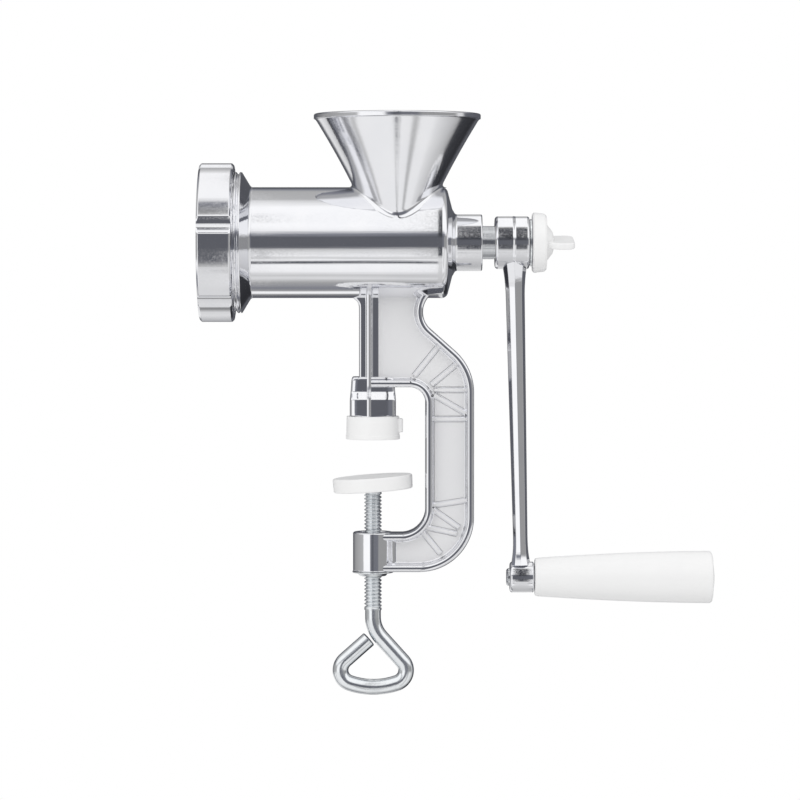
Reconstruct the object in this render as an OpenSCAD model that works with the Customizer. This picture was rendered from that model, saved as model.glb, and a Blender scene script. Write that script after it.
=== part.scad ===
// Hand cranked meat grinder that clamps to a table edge.
// The origin is the middle of the upper jaw pad's working face, on the axis of the clamp screw.
// Plus X points to the crank, minus X to the outlet, plus Z up. Lengths are millimetres.

/* [Barrel] */
// Height of the worm's axis above the table
axis_height = 108; // [104:0.5:116]
// Outside diameter of the barrel
barrel_d = 60.8; // [59:0.2:66]
// Thickness of the barrel's wall
barrel_wall = 4.4; // [3.4:0.1:7]
// Distance from the clamp screw to the front end of the plain barrel
barrel_front = 66.8; // [60:0.2:76]
// Distance from the clamp screw to the rear end of the barrel
barrel_rear = 40.7; // [39:0.1:46]
// Thickness of the barrel's rear wall
rear_wall = 5.5; // [4:0.1:8]
// Length of the cone behind the barrel
rear_cone_l = 3.3; // [2:0.1:5]
// Diameter of the cone where it meets the bearing boss
rear_cone_d = 35; // [33:0.5:42]
// Diameter of the bearing boss
bearing_d = 31; // [29:0.5:33]
// Length of the bearing boss behind the barrel
bearing_l = 19.3; // [12:0.1:26]
// Thickness of the threaded collar's wall around the plate
collar_wall = 3.35; // [2.8:0.05:5]
// Length of the threaded collar
collar_l = 17.7; // [16:0.1:24]
// Length of the flare between the barrel and the collar
flare_l = 5; // [3:0.1:8]

/* [Hopper] */
// Diameter over the hopper's rim
rim_d = 91.6; // [84:0.2:110]
// Height of the rim above the worm's axis
rim_height = 70.5; // [60:0.5:90]
// Distance from the clamp screw to the middle of the hopper
hopper_x = 13.4; // [6:0.1:15]
// Thickness of the hopper's wall
hopper_wall = 2.4; // [2:0.1:3.5]
// Height of the straight lip at the rim
lip_h = 3; // [2:0.1:6]
// How far the lip stands out from the hopper's cone
lip_out = 0.9; // [0.4:0.1:2]
// Length of the hopper's foot along the barrel
hopper_foot_l = 29.2; // [26:0.2:34]
// How far the hopper's side is hollowed, as a share of its flare
hopper_flare_share = 0.18; // [0:0.01:0.25]

/* [Clamp frame] */
// Height of the frame's upper arm above the table
throat_top = 28.8; // [27:0.2:32]
// Depth of the frame's lower arm below the table face
throat_low = 51.6; // [48:0.2:64]
// Distance from the clamp screw to the frame's column
throat_reach = 28.8; // [27:0.2:34]
// Width of the column
column_w = 26.7; // [24:0.2:30]
// Height of the lower arm
arm_h = 21.2; // [19:0.2:26]
// Thickness of the frame over its rims
frame_t = 19; // [16:0.2:21]
// Thickness of the web between the rims
web_t = 6; // [4:0.2:9]
// Width of the rims
rim_w = 4; // [3:0.1:5]
// Roundness of the rims' edges
rim_round = 1.4; // [0.8:0.1:1.8]
// Radius of the throat's upper corner
throat_top_r = 8.6; // [8:0.2:11]
// Radius of the throat's lower corner
throat_low_r = 13.2; // [12:0.2:16]
// Outside radius of the elbow under the column
elbow_r = 30; // [28:0.2:36]
// Outside radius of the shoulder above the column
shoulder_r = 30; // [24:0.5:32]
// Height at which the column starts to bend into the shoulder
shoulder_z = 26; // [22:0.2:30]
// Distance from the clamp screw to the narrowest place of the neck
neck_x = 27.5; // [26:0.1:30]
// Distance from the barrel's underside down to the narrowest place of the neck
neck_drop = 7.6; // [5:0.2:9]
// Radius of the hollow at the neck
neck_r = 12.5; // [11:0.5:14]
// Width of the zigzag ribs on the web
web_rib_w = 2.6; // [1.6:0.1:3.4]
// Height of the zigzag ribs above the web
web_rib_h = 0.9; // [0.5:0.1:1.4]

/* [Jaw] */
// Distance from the clamp screw to the leg's front edge
leg_front = 7.6; // [6:0.1:10]
// Distance from the clamp screw to the middle of the leg's rib
leg_rib_x = 1.6; // [0:0.1:3]
// Width of the leg's rib at its crest
leg_rib_w = 3; // [1.4:0.1:3.6]
// Thickness of the leg over its ribs
leg_t = 22; // [18:0.2:23]
// Distance from the middle of the rib to the foot of its rear hollow
leg_hollow = 4.9; // [4:0.1:8]
// Radius of the fillet between the leg and the barrel
leg_fillet = 4; // [2:0.1:7]
// Diameter of the jaw's foot
foot_d = 25.4; // [22:0.2:26]
// Thickness of the foot's block above the upper pad
foot_block_t = 19.4; // [16:0.2:22]
// Height of the block's shoulder's foot above the table
foot_shoulder_z = 21.4; // [19:0.2:24]
// Thickness of the foot at its top
foot_neck_t = 14; // [12:0.2:15]
// Height of the foot's shoulder above the table
foot_top = 34.4; // [33:0.2:38]
// Thickness of the upper pad's cup around the foot
cup_wall = 1.85; // [0.6:0.05:2.4]
// Height of the upper pad
upper_pad_h = 12.7; // [9:0.1:15]
// Thickness of the upper pad under the foot
upper_pad_floor = 2.5; // [2:0.1:4]
// Width of the ledge between the upper pad's cup and its tread
upper_pad_ledge = 0.25; // [0.1:0.05:1]
// Length of the pull tab on the upper pad
tab_l = 1.9; // [1:0.1:5]
// Width of the pull tab
tab_w = 8; // [5:0.5:12]

/* [Clamp screw] */
// Diameter of the clamp boss
clamp_boss_d = 22; // [20:0.2:25]
// Diameter of the threaded insert in the boss
insert_d = 15; // [13:0.2:16]
// Diameter of the insert's collar under the boss
insert_collar_d = 17.6; // [16:0.2:20]
// Height of the insert's collar
insert_collar_h = 2.8; // [2:0.1:4]
// Diameter over the clamp screw's thread
thread_d = 9.6; // [8.8:0.1:10]
// Distance from the table face down to the clamp screw's shoulder
screw_top = 29; // [28:0.1:34]
// Length of the clamp screw's thread
thread_l = 65.4; // [60:0.2:68]
// Diameter of the screw's plain rod
rod_d = 8.7; // [7.6:0.1:8.7]
// Length of straight rod between the thread and the first bend
rod_run = 3.8; // [2:0.1:9]
// Diameter of the screw's stem in the lower pad
stem_d = 6; // [5:0.1:6.2]
// Diameter of the riveted head on the stem
stem_head_d = 9.2; // [8.4:0.1:10]
// Thickness of the riveted head
stem_head_h = 1.2; // [0.9:0.1:1.3]

/* [Lower pad] */
// Diameter of the lower pad
lower_pad_d = 44; // [42:0.2:45]
// Thickness of the lower pad
lower_pad_t = 7.7; // [7.4:0.1:9]
// Lean of the lower pad on its rivet, in degrees
pad_lean = 4; // [3:0.5:4.5]
// Width of the lower pad's plastic rim around its steel disc
pad_rim_w = 2; // [1.4:0.1:4]
// Thickness of the steel disc
pad_disc_t = 2; // [1.5:0.1:2.2]
// Height of the plastic lip under the steel disc
pad_lip_h = 1.5; // [1:0.1:1.8]
// Diameter of the loose washer under the steel disc
screw_washer_d = 15; // [13:0.2:17]
// Thickness of the loose washer at its bore
screw_washer_t = 1.4; // [1.2:0.1:1.5]

/* [Ring nut and plate] */
// Thickness of the ring nut's wall around the collar
ring_wall = 4.55; // [3.8:0.05:7]
// Width of the ring nut
ring_w = 18.6; // [17:0.1:23]
// Thickness of the ring nut's lip in front of the plate
ring_lip_t = 4; // [3:0.1:6]
// Width of the plate's seat in the ring nut's lip
plate_seat_w = 2; // [1.4:0.1:4]
// Number of hollows around the ring nut
ring_hollows = 6; // [4:1:8]
// Radius of the ring nut's hollows
ring_hollow_r = 9; // [7:0.5:12]
// Depth of the ring nut's hollows
ring_hollow_deep = 1.4; // [0.8:0.1:1.8]
// Bevel of the ring nut's edges
ring_bevel = 1; // [0.8:0.1:2]
// Diameter of the grinding plate
plate_d = 70; // [69:0.1:70.4]
// Thickness of the grinding plate
plate_t = 7; // [5:0.1:9]
// How far the plate stands out of the collar
plate_proud = 1; // [0.4:0.1:1.5]
// Diameter of the plate's holes
plate_hole_d = 4.6; // [4:0.1:5]
// Distance between the middles of the plate's holes
plate_hole_pitch = 6.4; // [6.2:0.1:8]
// Diameter of the plate's key pin
key_d = 4; // [3:0.1:4.2]
// Length of the key pin
key_l = 10; // [8:0.1:11]

/* [Worm and knife] */
// Distance from the tips of the knife's wings to the plate's edge
knife_inset = 2.5; // [2:0.1:5]
// Thickness of the knife
knife_t = 6.3; // [5:0.1:8]
// Diameter of the knife's hub
knife_hub_d = 20; // [18:0.2:24]
// Width of a knife wing
knife_wing_w = 10; // [8:0.2:12]
// Width across the flats of the knife's drive
drive_flats = 11; // [9.5:0.1:12]
// Diameter of the stud's nose in the plate
nose_d = 10.8; // [9:0.1:11]
// Diameter of the stud's root in the worm
stud_root_d = 9; // [7:0.1:10]
// Gap between the worm's flight and the barrel
worm_gap = 0.5; // [0.3:0.1:1.5]
// Diameter of the worm's core at the crank end
core_rear_d = 25; // [23:0.5:30]
// Diameter of the worm's core at the knife end
core_front_d = 31; // [28:0.5:34]
// Pitch of the flight at the crank end
pitch_rear = 31; // [27:0.5:36]
// Pitch of the flight at the knife end
pitch_front = 19; // [16:0.5:24]
// Length of plain core in front of the flight
worm_nose_l = 7; // [6.5:0.5:10]
// Diameter of the worm's shaft
shaft_d = 18.2; // [16:0.1:19]
// Wall of the bearing bush around the shaft
bush_wall = 2.3; // [1.6:0.1:3]
// Thickness of the thrust washer behind the worm
thrust_t = 1.6; // [1:0.1:2.5]
// Diameter of the thrust washer
thrust_d = 40; // [34:0.5:44]

/* [Crank] */
// Length of shaft that shows between the bearing boss and the crank
neck_gap = 6.9; // [5:0.1:10]
// Diameter of the crank's hub
hub_d = 28.8; // [27:0.2:32]
// Length of the crank's hub
hub_l = 19; // [17:0.1:22]
// Roundness of the hub's edges
hub_round = 1.6; // [0.8:0.1:2.5]
// Width across the flats of the shaft's square end
square_w = 12.7; // [12:0.1:13]
// Distance between the worm's axis and the grip's axis
crank_l = 184.2; // [150:0.5:220]
// How far the crank leans outward on its way to the grip
crank_lean = 5.7; // [3:0.1:8]
// How far the arm starts outward of the hub's middle
arm_shift = 1.2; // [0:0.1:1.6]
// Width of the crank's arm at the hub, seen from the side
arm_hub_w = 12; // [10:0.1:13]
// Width of the crank's arm at the grip, seen from the side
arm_end_w = 8.2; // [7:0.1:9.4]
// Depth of the crank's arm at the hub
arm_hub_t = 16; // [14:0.1:19]
// Depth of the crank's arm at the grip
arm_end_t = 11.5; // [9:0.1:14]
// Diameter of the crank's lower eye
eye_d = 17; // [15:0.1:20]
// Length of the crank's lower eye
eye_l = 13.5; // [12:0.1:16]

/* [Grip] */
// Length of the grip
grip_l = 99; // [80:0.2:120]
// Diameter of the grip at the crank
grip_near_d = 21; // [19:0.2:23]
// Diameter of the grip at its far end
grip_far_d = 28.7; // [26:0.2:32]
// Height of the dome on the grip's cap
grip_dome = 1.3; // [0.6:0.1:2.5]
// Diameter of the grip's pin
pin_d = 8; // [6:0.1:9]
// Diameter of the rivet head outside the eye
rivet_d = 9.8; // [9.2:0.1:12]
// Height of the rivet head outside the eye
rivet_h = 1.8; // [1:0.1:2.6]
// Diameter of the recess under the grip's cap
grip_recess_d = 18; // [17:0.2:19]
// Depth of the recess under the grip's cap
grip_recess_l = 9; // [8:0.1:13]
// Thickness of the grip's cap
grip_cap_t = 2.6; // [2:0.1:4]
// Diameter of the pin's head in the recess
pin_head_d = 13; // [11:0.1:14]
// Thickness of the pin's head
pin_head_h = 2; // [1.5:0.1:2.2]

/* [Wing knob] */
// Diameter of the knob's flange
knob_d = 33.2; // [30:0.2:38]
// Thickness of the knob's flange
knob_t = 7.8; // [6:0.1:10]
// Height of the dome on the flange
knob_dome_h = 3.8; // [2:0.1:5]
// Diameter of the dome at the flange
knob_dome_d = 20.4; // [18:0.2:23]
// Length of the wing beyond the flange
wing_l = 15.2; // [12:0.1:20]
// Width of the wing
wing_w = 30; // [24:0.2:32]
// Thickness of the wing
wing_t = 3.6; // [3:0.1:5]
// Turn of the wing at rest, in degrees
wing_turn = 9; // [0:1:12]
// Diameter of the knob's stud
stud_d = 7.8; // [6.8:0.1:8]
// Length of the stud inside the shaft
stud_reach = 16; // [13:0.1:18]
// Thickness of the washer under the knob
knob_washer_t = 1; // [0.8:0.1:1.4]
// Diameter of the washer under the knob
knob_washer_d = 26; // [22:0.2:30]

/* [Fits] */
// Gap between pieces that move past each other
seat_gap = 0.3; // [0.2:0.05:0.4]
// Radial gap of a shaft in its bearing
run_gap = 0.07; // [0.03:0.01:0.1]
// Gap round pieces that are pressed or moulded in
push_gap = 0.05; // [0.02:0.01:0.08]

/* [Hidden] */
$fn = 96;
// Depth by which a cut runs past the face that it opens
overrun = 2;

aluminium = "#c9cbd0";
steel = "#b4b9bf";
zinc_plate = "#a9b0b7";
white_plastic = "#f3f3f1";
nylon = "#e6e2d6";

// Diameters around the worm's axis
bore_d = barrel_d - 2 * barrel_wall;
worm_d = bore_d - 2 * worm_gap;
mouth_d = plate_d + 2 * seat_gap;
collar_d = mouth_d + 2 * collar_wall;
ring_d = collar_d + 2 * seat_gap + 2 * ring_wall;
outlet_d = plate_d - 2 * plate_seat_w;
knife_d = plate_d - 2 * knife_inset;

// Places along the worm's axis, from the outlet to the crank
collar_rear_x = -barrel_front - flare_l;
mouth_x = collar_rear_x - collar_l;
plate_front_x = mouth_x - plate_proud;
plate_rear_x = plate_front_x + plate_t;
ring_front_x = plate_front_x - seat_gap - ring_lip_t;
knife_front_x = plate_rear_x + seat_gap;
knife_rear_x = knife_front_x + knife_t;
bore_rear_x = barrel_rear - rear_wall;
thrust_x = bore_rear_x - seat_gap - thrust_t;
bearing_end_x = barrel_rear + bearing_l;
hub_x = bearing_end_x + neck_gap;
hub_end_x = hub_x + hub_l;
knob_washer_x = hub_end_x + seat_gap;
knob_x = knob_washer_x + knob_washer_t + seat_gap;
wing_x = knob_x + knob_t;
eye_x = hub_x + hub_l / 2 + crank_lean;
grip_x = eye_x + eye_l / 2 + seat_gap;
grip_end_x = grip_x + grip_l;
grip_height = axis_height - crank_l;

// Moves what is drawn along Z onto the worm's axis, starting at x
module on_axis(x = 0, height = axis_height) {
    translate([x, 0, height]) rotate([0, 90, 0]) children();
}

// Stands a drawing of the side view upright, with its thickness along Y
module upright() {
    rotate([90, 0, 0]) children();
}

// Points of a round stretch, in a whole number of steps
function arc(x, z, r, from, to, steps, skip = 0) =
    [for (i = [skip:steps]) let (a = from + (to - from) * i / steps) [x + r * cos(a), z + r * sin(a)]];

// Closed solid through a stack of rings with equally many points
module skin(rings) {
    count = len(rings[0]);
    last = len(rings) - 1;
    points = [for (ring = rings) each ring];
    sides = [for (i = [0:last - 1], j = [0:count - 1])
        let (k = (j + 1) % count, low = i * count, high = low + count)
        each [[low + j, high + j, high + k], [low + j, high + k, low + k]]];
    bottom = [for (j = [0:count - 1]) j];
    top = [for (j = [count - 1:-1:0]) last * count + j];
    polyhedron(points, concat([bottom], sides, [top]));
}

// Places one flat outline at each level of a stack
function ring_at(outline, level) = [for (p = outline) [p[0], p[1], level]];

// The clamp frame: an outline that can be drawn inward, so that rims and pockets follow it
frame_top = axis_height - barrel_d / 2 + barrel_wall * 0.8;
neck_z = axis_height - barrel_d / 2 - neck_drop;
arm_bottom = -throat_low - arm_h;
column_x = throat_reach + column_w;
shoulder_x = column_x - shoulder_r;
// From the middle of the shoulder's bend to the middle of the neck's hollow
neck_run = [neck_x + neck_r - shoulder_x, neck_z - shoulder_z];
bend_angle = atan2(neck_run[1], neck_run[0]) - acos(min(1, (shoulder_r + neck_r) / norm(neck_run)));
corner_steps = 9;
elbow_steps = 15;

function frame_outline(inset, left, end, top) = concat(
    [[left, top], [left, throat_top + inset]],
    arc(throat_reach - throat_top_r, throat_top - throat_top_r, throat_top_r + inset, 90, 0, corner_steps),
    arc(throat_reach - throat_low_r, throat_low_r - throat_low, throat_low_r + inset, 0, -90, corner_steps),
    [[end, -throat_low - inset], [end, arm_bottom + inset]],
    arc(column_x - elbow_r, arm_bottom + elbow_r, elbow_r - inset, -90, 0, elbow_steps),
    arc(shoulder_x, shoulder_z, shoulder_r - inset, 0, bend_angle, corner_steps),
    arc(neck_x + neck_r, neck_z, neck_r + inset, bend_angle + 180,
        180 - asin(min(1, (top - neck_z) / (neck_r + inset))), corner_steps));

// The pockets run on into the round boss
pocket_end = clamp_boss_d / 4;

// The rims carry a raised crown, set in from the edge of the casting by half its height
module frame_slab() {
    upright() {
        linear_extrude(frame_t - 2 * rim_round, center = true)
            polygon(frame_outline(0, -leg_rib_x, 0, frame_top));
        linear_extrude(frame_t, center = true)
            polygon(frame_outline(rim_round / 2, -leg_rib_x, 0, frame_top));
    }
}

// The hollows between the rims, on both sides of the web
module frame_pockets() {
    outline = frame_outline(rim_w, -leg_rib_x - leg_rib_w, pocket_end, frame_top + overrun);
    upright() for (side = [-1, 1]) translate([0, 0, side * (web_t + frame_t) / 2])
        linear_extrude(frame_t, center = true) polygon(outline);
}

// Zigzag ribs on the web. The ends are shares of the column's width: how far across the
// panel from its inner rim, and how far above the throat's edge.
upper_rib_shares = [[[-0.56, 0.18], [0.24, 0.86]], [[-0.06, 0.02], [0.74, 0.47]],
    [[-0.04, -0.06], [1.02, -0.06]], [[0, -0.15], [1.02, -0.56]], [[-0.02, -0.66], [1.02, -0.66]]];
lower_rib_shares = [[[0, 0.57], [1.02, 0.67]], [[0, 0.47], [0.86, 0.08]],
    [[-0.26, 0.12], [0.82, -0.03]], [[-0.3, -0.02], [0.3, -0.5]]];

function panel_point(share, level) =
    [throat_reach + rim_w + share[0] * (column_w - 2 * rim_w), level + share[1] * column_w];

module web_rib(from, to) {
    run = to - from;
    side = web_rib_w / 2 / norm(run) * [-run[1], run[0]];
    upright() linear_extrude(web_t + 2 * web_rib_h, center = true)
        polygon([from - side, to - side, to + side, from + side]);
}

module web_ribs() {
    for (s = upper_rib_shares) web_rib(panel_point(s[0], throat_top), panel_point(s[1], throat_top));
    for (s = lower_rib_shares) web_rib(panel_point(s[0], -throat_low), panel_point(s[1], -throat_low));
}

module clamp_frame() {
    difference() {
        frame_slab();
        frame_pockets();
    }
    web_ribs();
}

// The leg over the jaw: a crossed section with hollow flanks
flank_steps = 7;
leg_half = concat(
    [for (i = [0:flank_steps]) let (a = 90 * i / flank_steps)
        [-leg_front + (leg_front - leg_rib_x - leg_rib_w / 2) * sin(a),
            leg_t / 2 - (leg_t - web_t) / 2 * cos(a)]],
    [for (i = [flank_steps:-1:0]) let (a = 90 * i / flank_steps)
        [leg_hollow - leg_rib_x - (leg_hollow - leg_rib_w / 2) * sin(a),
            leg_t / 2 - (leg_t - web_t) / 2 * cos(a)]]);

module jaw_leg() {
    mirrored = [for (i = [len(leg_half) - 1:-1:0]) [leg_half[i][0], -leg_half[i][1]]];
    barrel_low = axis_height - barrel_d / 2;
    translate([0, 0, upper_pad_h]) linear_extrude(frame_top - upper_pad_h)
        polygon(concat(leg_half, mirrored));
    upright() linear_extrude(web_t, center = true) difference() {
        translate([-leg_front - leg_fillet, barrel_low - leg_fillet])
            square([leg_fillet + leg_rib_w, leg_fillet + frame_top - barrel_low]);
        translate([-leg_front - leg_fillet, barrel_low - leg_fillet]) circle(leg_fillet);
    }
}

// The jaw's foot: a round peg in the upper pad, and above it a block with full corners that a
// shoulder draws in towards the leg
foot_steps = 8;
foot_sides = 56;

function foot_ring(rx, ry, level) = [for (i = [0:foot_sides - 1]) let (a = 360 * i / foot_sides)
    [rx * sign(cos(a)) * pow(abs(cos(a)), 0.36), ry * sign(sin(a)) * pow(abs(sin(a)), 0.36), level]];

module jaw_foot() {
    block_low = upper_pad_h + 2 * seat_gap;
    low_r = foot_d / 2 - push_gap;
    high_r = low_r * 0.92;
    shoulder_h = (foot_top - foot_shoulder_z) * 0.42;
    translate([0, 0, upper_pad_floor]) cylinder(h = foot_shoulder_z - upper_pad_floor, d = foot_d);
    skin(concat([foot_ring(low_r, foot_block_t / 2, block_low)],
        [for (i = [0:foot_steps]) let (t = i / foot_steps, drawn = (1 - cos(180 * t)) / 2)
            foot_ring(low_r + (high_r - low_r) * t / 2,
                (foot_block_t + (foot_neck_t - foot_block_t) * drawn) / 2, foot_shoulder_z + shoulder_h * t)],
        [foot_ring(high_r, foot_neck_t / 2, foot_top)]));
}

module clamp_boss() {
    translate([0, 0, arm_bottom]) cylinder(h = arm_h + push_gap, d = clamp_boss_d);
}

// The barrel with its collar, flare, rear cone and bearing boss, turned about the worm's axis
module barrel_outside() {
    edge = rear_wall * 0.85;
    on_axis() rotate_extrude() polygon(concat(
        [[0, mouth_x], [collar_d / 2, mouth_x], [collar_d / 2, collar_rear_x], [barrel_d / 2, -barrel_front]],
        arc(barrel_d / 2 - edge, barrel_rear - edge, edge, 0, 75, corner_steps),
        [[rear_cone_d / 2, barrel_rear + rear_cone_l], [bearing_d / 2, barrel_rear + 1.4 * rear_cone_l],
            [bearing_d / 2, bearing_end_x], [0, bearing_end_x]]));
}

chamber_d = knife_d + 6 * seat_gap;
chamber_x = knife_rear_x + worm_nose_l / 3;
chamber_cone_l = worm_nose_l;

module barrel_inside() {
    on_axis(mouth_x - overrun) cylinder(h = plate_rear_x + seat_gap - mouth_x + overrun, d = mouth_d);
    on_axis(plate_rear_x - overrun) cylinder(h = chamber_x - plate_rear_x + overrun, d = chamber_d);
    on_axis(chamber_x) cylinder(h = chamber_cone_l, d1 = chamber_d, d2 = bore_d);
    on_axis(chamber_x) cylinder(h = bore_rear_x - chamber_x, d = bore_d);
    on_axis(bore_rear_x - overrun)
        cylinder(h = bearing_end_x - bore_rear_x + 2 * overrun, d = bush_d + 2 * push_gap);
}

// The hopper: round at the rim, and drawn out to an oval where it runs into the barrel
hopper_sides = 64;
foot_height = barrel_d * 0.165;
bore_half = sqrt(bore_d * bore_d / 4 - foot_height * foot_height);
cone_top = axis_height + rim_height - lip_h;
cone_top_r = rim_d / 2 - lip_out;

function oval(rx, ry) = [for (i = [0:hopper_sides - 1]) let (a = 360 * i / hopper_sides)
    [hopper_x + rx * cos(a), ry * sin(a)]];

// The side is hollowed between the foot and the lip
hopper_steps = 6;
function hopper_share(t) = t - hopper_flare_share * t * (1 - t);

module hopper_cone(wall) {
    low = axis_height + foot_height;
    foot_rx = hopper_foot_l / 2 - wall;
    foot_ry = bore_half + hopper_wall / 2 - wall;
    top_r = cone_top_r - wall;
    skin([for (i = [0:hopper_steps]) let (t = i / hopper_steps, share = hopper_share(t))
        ring_at(oval(foot_rx + (top_r - foot_rx) * share, foot_ry + (top_r - foot_ry) * share),
            low + (cone_top - low) * t)]);
}

module hopper_outside() {
    hopper_cone(0);
    translate([hopper_x, 0, cone_top]) cylinder(h = lip_h, d = rim_d);
}

module hopper_inside() {
    hopper_cone(hopper_wall);
    translate([hopper_x, 0, cone_top]) cylinder(h = lip_h + overrun, r = cone_top_r - hopper_wall + push_gap);
}

key_height = axis_height - mouth_d / 2;
key_x = mouth_x + push_gap;

module body_casting() {
    color(aluminium) difference() {
        union() {
            barrel_outside();
            hopper_outside();
            clamp_frame();
            jaw_leg();
            jaw_foot();
            clamp_boss();
        }
        barrel_inside();
        hopper_inside();
        on_axis(mouth_x - overrun, key_height)
            cylinder(h = key_l + overrun + 2 * push_gap, d = key_d + 2 * push_gap);
        translate([0, 0, arm_bottom - overrun])
            cylinder(h = arm_h + 2 * overrun, d = insert_d + 2 * push_gap);
    }
}

bush_d = shaft_d + 2 * run_gap + 2 * bush_wall;

module shaft_bush() {
    length = bearing_end_x - bore_rear_x - 2 * push_gap;
    color(nylon) on_axis(bore_rear_x + push_gap) difference() {
        cylinder(h = length, d = bush_d);
        translate([0, 0, -overrun]) cylinder(h = length + 2 * overrun, d = shaft_d + 2 * run_gap);
    }
}

module plate_key() {
    color(steel) on_axis(key_x, key_height) cylinder(h = key_l, d = key_d);
}

insert_bore_d = thread_d + 2 * seat_gap;

module thread_insert() {
    collar_low = arm_bottom - insert_collar_h - push_gap;
    color(zinc_plate) difference() {
        union() {
            translate([0, 0, collar_low]) cylinder(h = arm_h + insert_collar_h, d = insert_d);
            translate([0, 0, collar_low])
                cylinder(h = insert_collar_h, d1 = (insert_collar_d + insert_d) / 2, d2 = insert_collar_d);
        }
        translate([0, 0, collar_low - overrun])
            cylinder(h = arm_h + insert_collar_h + 2 * overrun, d = insert_bore_d);
    }
}

module upper_pad() {
    tread = upper_pad_floor - push_gap;
    cup_d = foot_d + 2 * push_gap + 2 * cup_wall;
    tab_gap = cup_wall * 0.75;
    color(white_plastic) difference() {
        union() {
            cylinder(h = upper_pad_h, d = cup_d);
            cylinder(h = tread, d = cup_d + 2 * upper_pad_ledge);
            translate([0, -tab_w / 2, upper_pad_floor + tab_gap])
                cube([cup_d / 2 + tab_l, tab_w, upper_pad_h - upper_pad_floor - 2 * tab_gap]);
        }
        translate([0, 0, tread]) cylinder(h = upper_pad_h, d = foot_d + 2 * push_gap);
    }
}

// The ring nut: turned with beveled edges, with shallow hollows for the fingers
module ring_nut() {
    r = ring_d / 2;
    hollow_x = r - ring_hollow_deep + ring_hollow_r;
    hollow_start = 12.5;
    color(aluminium) on_axis(ring_front_x) difference() {
        rotate_extrude() polygon([[0, 0], [r - ring_bevel, 0], [r, ring_bevel],
            [r, ring_w - ring_bevel], [r - ring_bevel, ring_w], [0, ring_w]]);
        translate([0, 0, -overrun]) cylinder(h = ring_w, d = outlet_d);
        translate([0, 0, ring_lip_t]) cylinder(h = ring_w, d = collar_d + 2 * seat_gap);
        for (i = [0:ring_hollows - 1]) rotate(90 - hollow_start + 360 * i / ring_hollows)
            translate([hollow_x, 0, -overrun]) cylinder(h = ring_w + 2 * overrun, r = ring_hollow_r);
    }
}

// Holes on a triangular grid, kept clear of the hub and of the rim
hole_rows = floor(outlet_d / plate_hole_pitch / 1.7);
plate_hub_d = nose_d * 1.57;
plate_holes = [for (i = [-hole_rows:hole_rows], j = [-hole_rows:hole_rows])
    let (p = plate_hole_pitch * [i + j / 2, j * sqrt(3) / 2], d = 2 * norm(p))
    if (d > plate_hub_d + plate_hole_d && d < outlet_d - plate_hole_d) p];
notch_d = key_d + 2 * seat_gap;

module grinding_plate() {
    through = plate_t + 2 * overrun;
    color(steel) on_axis(plate_front_x) difference() {
        cylinder(h = plate_t, d = plate_d);
        translate([0, 0, -overrun]) {
            cylinder(h = through, d = nose_d + 2 * run_gap);
            for (p = plate_holes) translate(p) cylinder(h = through, d = plate_hole_d, $fn = 24);
            translate([mouth_d / 2, 0]) cylinder(h = through, d = notch_d);
            translate([mouth_d / 2, -notch_d / 2]) cube([notch_d, notch_d, through]);
        }
    }
}

// One wing's section, as shares of its width and of the knife's thickness
wing_shares = [[-0.5, 0], [0.15, 0], [0.5, 0.45], [0.5, 1], [0.05, 1], [-0.5, 0.12]];

module cutting_knife() {
    section = [for (s = wing_shares) [s[0] * knife_wing_w, s[1] * knife_t]];
    color(steel) on_axis(knife_front_x) difference() {
        union() {
            cylinder(h = knife_t, d = knife_hub_d);
            intersection() {
                cylinder(h = knife_t, d = knife_d);
                for (a = [0:90:270]) rotate([90, 0, a]) linear_extrude(knife_d / 2) polygon(section);
            }
        }
        square_bar(drive_flats + 2 * push_gap, -overrun, knife_t + 2 * overrun);
    }
}

module square_bar(width, start, length) {
    translate([-width / 2, -width / 2, start]) cube([width, width, length]);
}

stud_root_l = worm_nose_l * 1.6;

module knife_stud() {
    nose_l = plate_t - seat_gap;
    color(steel) on_axis(knife_front_x) {
        square_bar(drive_flats, 0, knife_t);
        translate([0, 0, -seat_gap - nose_l]) cylinder(h = nose_l + seat_gap, d = nose_d);
        translate([0, 0, knife_t - push_gap]) cylinder(h = stud_root_l, d = stud_root_d);
    }
}

// The worm: core and flight in one stack of rings. The pitch shortens and the core
// thickens towards the knife, so that the meat is pressed as it travels.
worm_l = thrust_x - knife_rear_x;
flight_l = worm_l - worm_nose_l;
worm_steps = 84;
crest_angles = [-17, -6, 6, 17];
flank_angle = 29;
core_sides = 10;
worm_angles = concat([-flank_angle], crest_angles, [flank_angle],
    [for (i = [1:core_sides]) flank_angle + (360 - 2 * flank_angle) * i / (core_sides + 1)]);
pitch_change = (pitch_front - pitch_rear) / flight_l;

// Turn of the flight at distance s from its rear end
function worm_turn(s) = 360 / pitch_change * ln((pitch_rear + pitch_change * s) / pitch_rear);
function core_r(s) = (core_rear_d + (core_front_d - core_rear_d) * s / flight_l) / 2;
// The flight grows out of the core over the first and last share of its length
function flight_rise(s) = min(1, s / flight_l / 0.08, (1 - s / flight_l) / 0.05);
function worm_r(s, a) =
    abs(a) < flank_angle ? core_r(s) + (worm_d / 2 - core_r(s)) * flight_rise(s) : core_r(s);
function worm_ring(s, level) = [for (a = worm_angles)
    let (r = worm_r(s, a), turn = a + worm_turn(s)) [r * cos(turn), r * sin(turn), level]];

module auger() {
    color(aluminium) on_axis(thrust_x) difference() {
        rotate([180, 0, 0]) skin(concat(
            [for (i = [0:worm_steps]) let (s = flight_l * i / worm_steps) worm_ring(s, s)],
            [worm_ring(flight_l, worm_l)]));
        translate([0, 0, -worm_l - overrun])
            cylinder(h = stud_root_l + overrun, d = stud_root_d + 2 * push_gap);
        translate([0, 0, -shaft_seat_l])
            cylinder(h = shaft_seat_l + overrun, d = shaft_d + 2 * push_gap);
    }
}

shaft_seat_l = shaft_d * 1.3;

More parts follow.
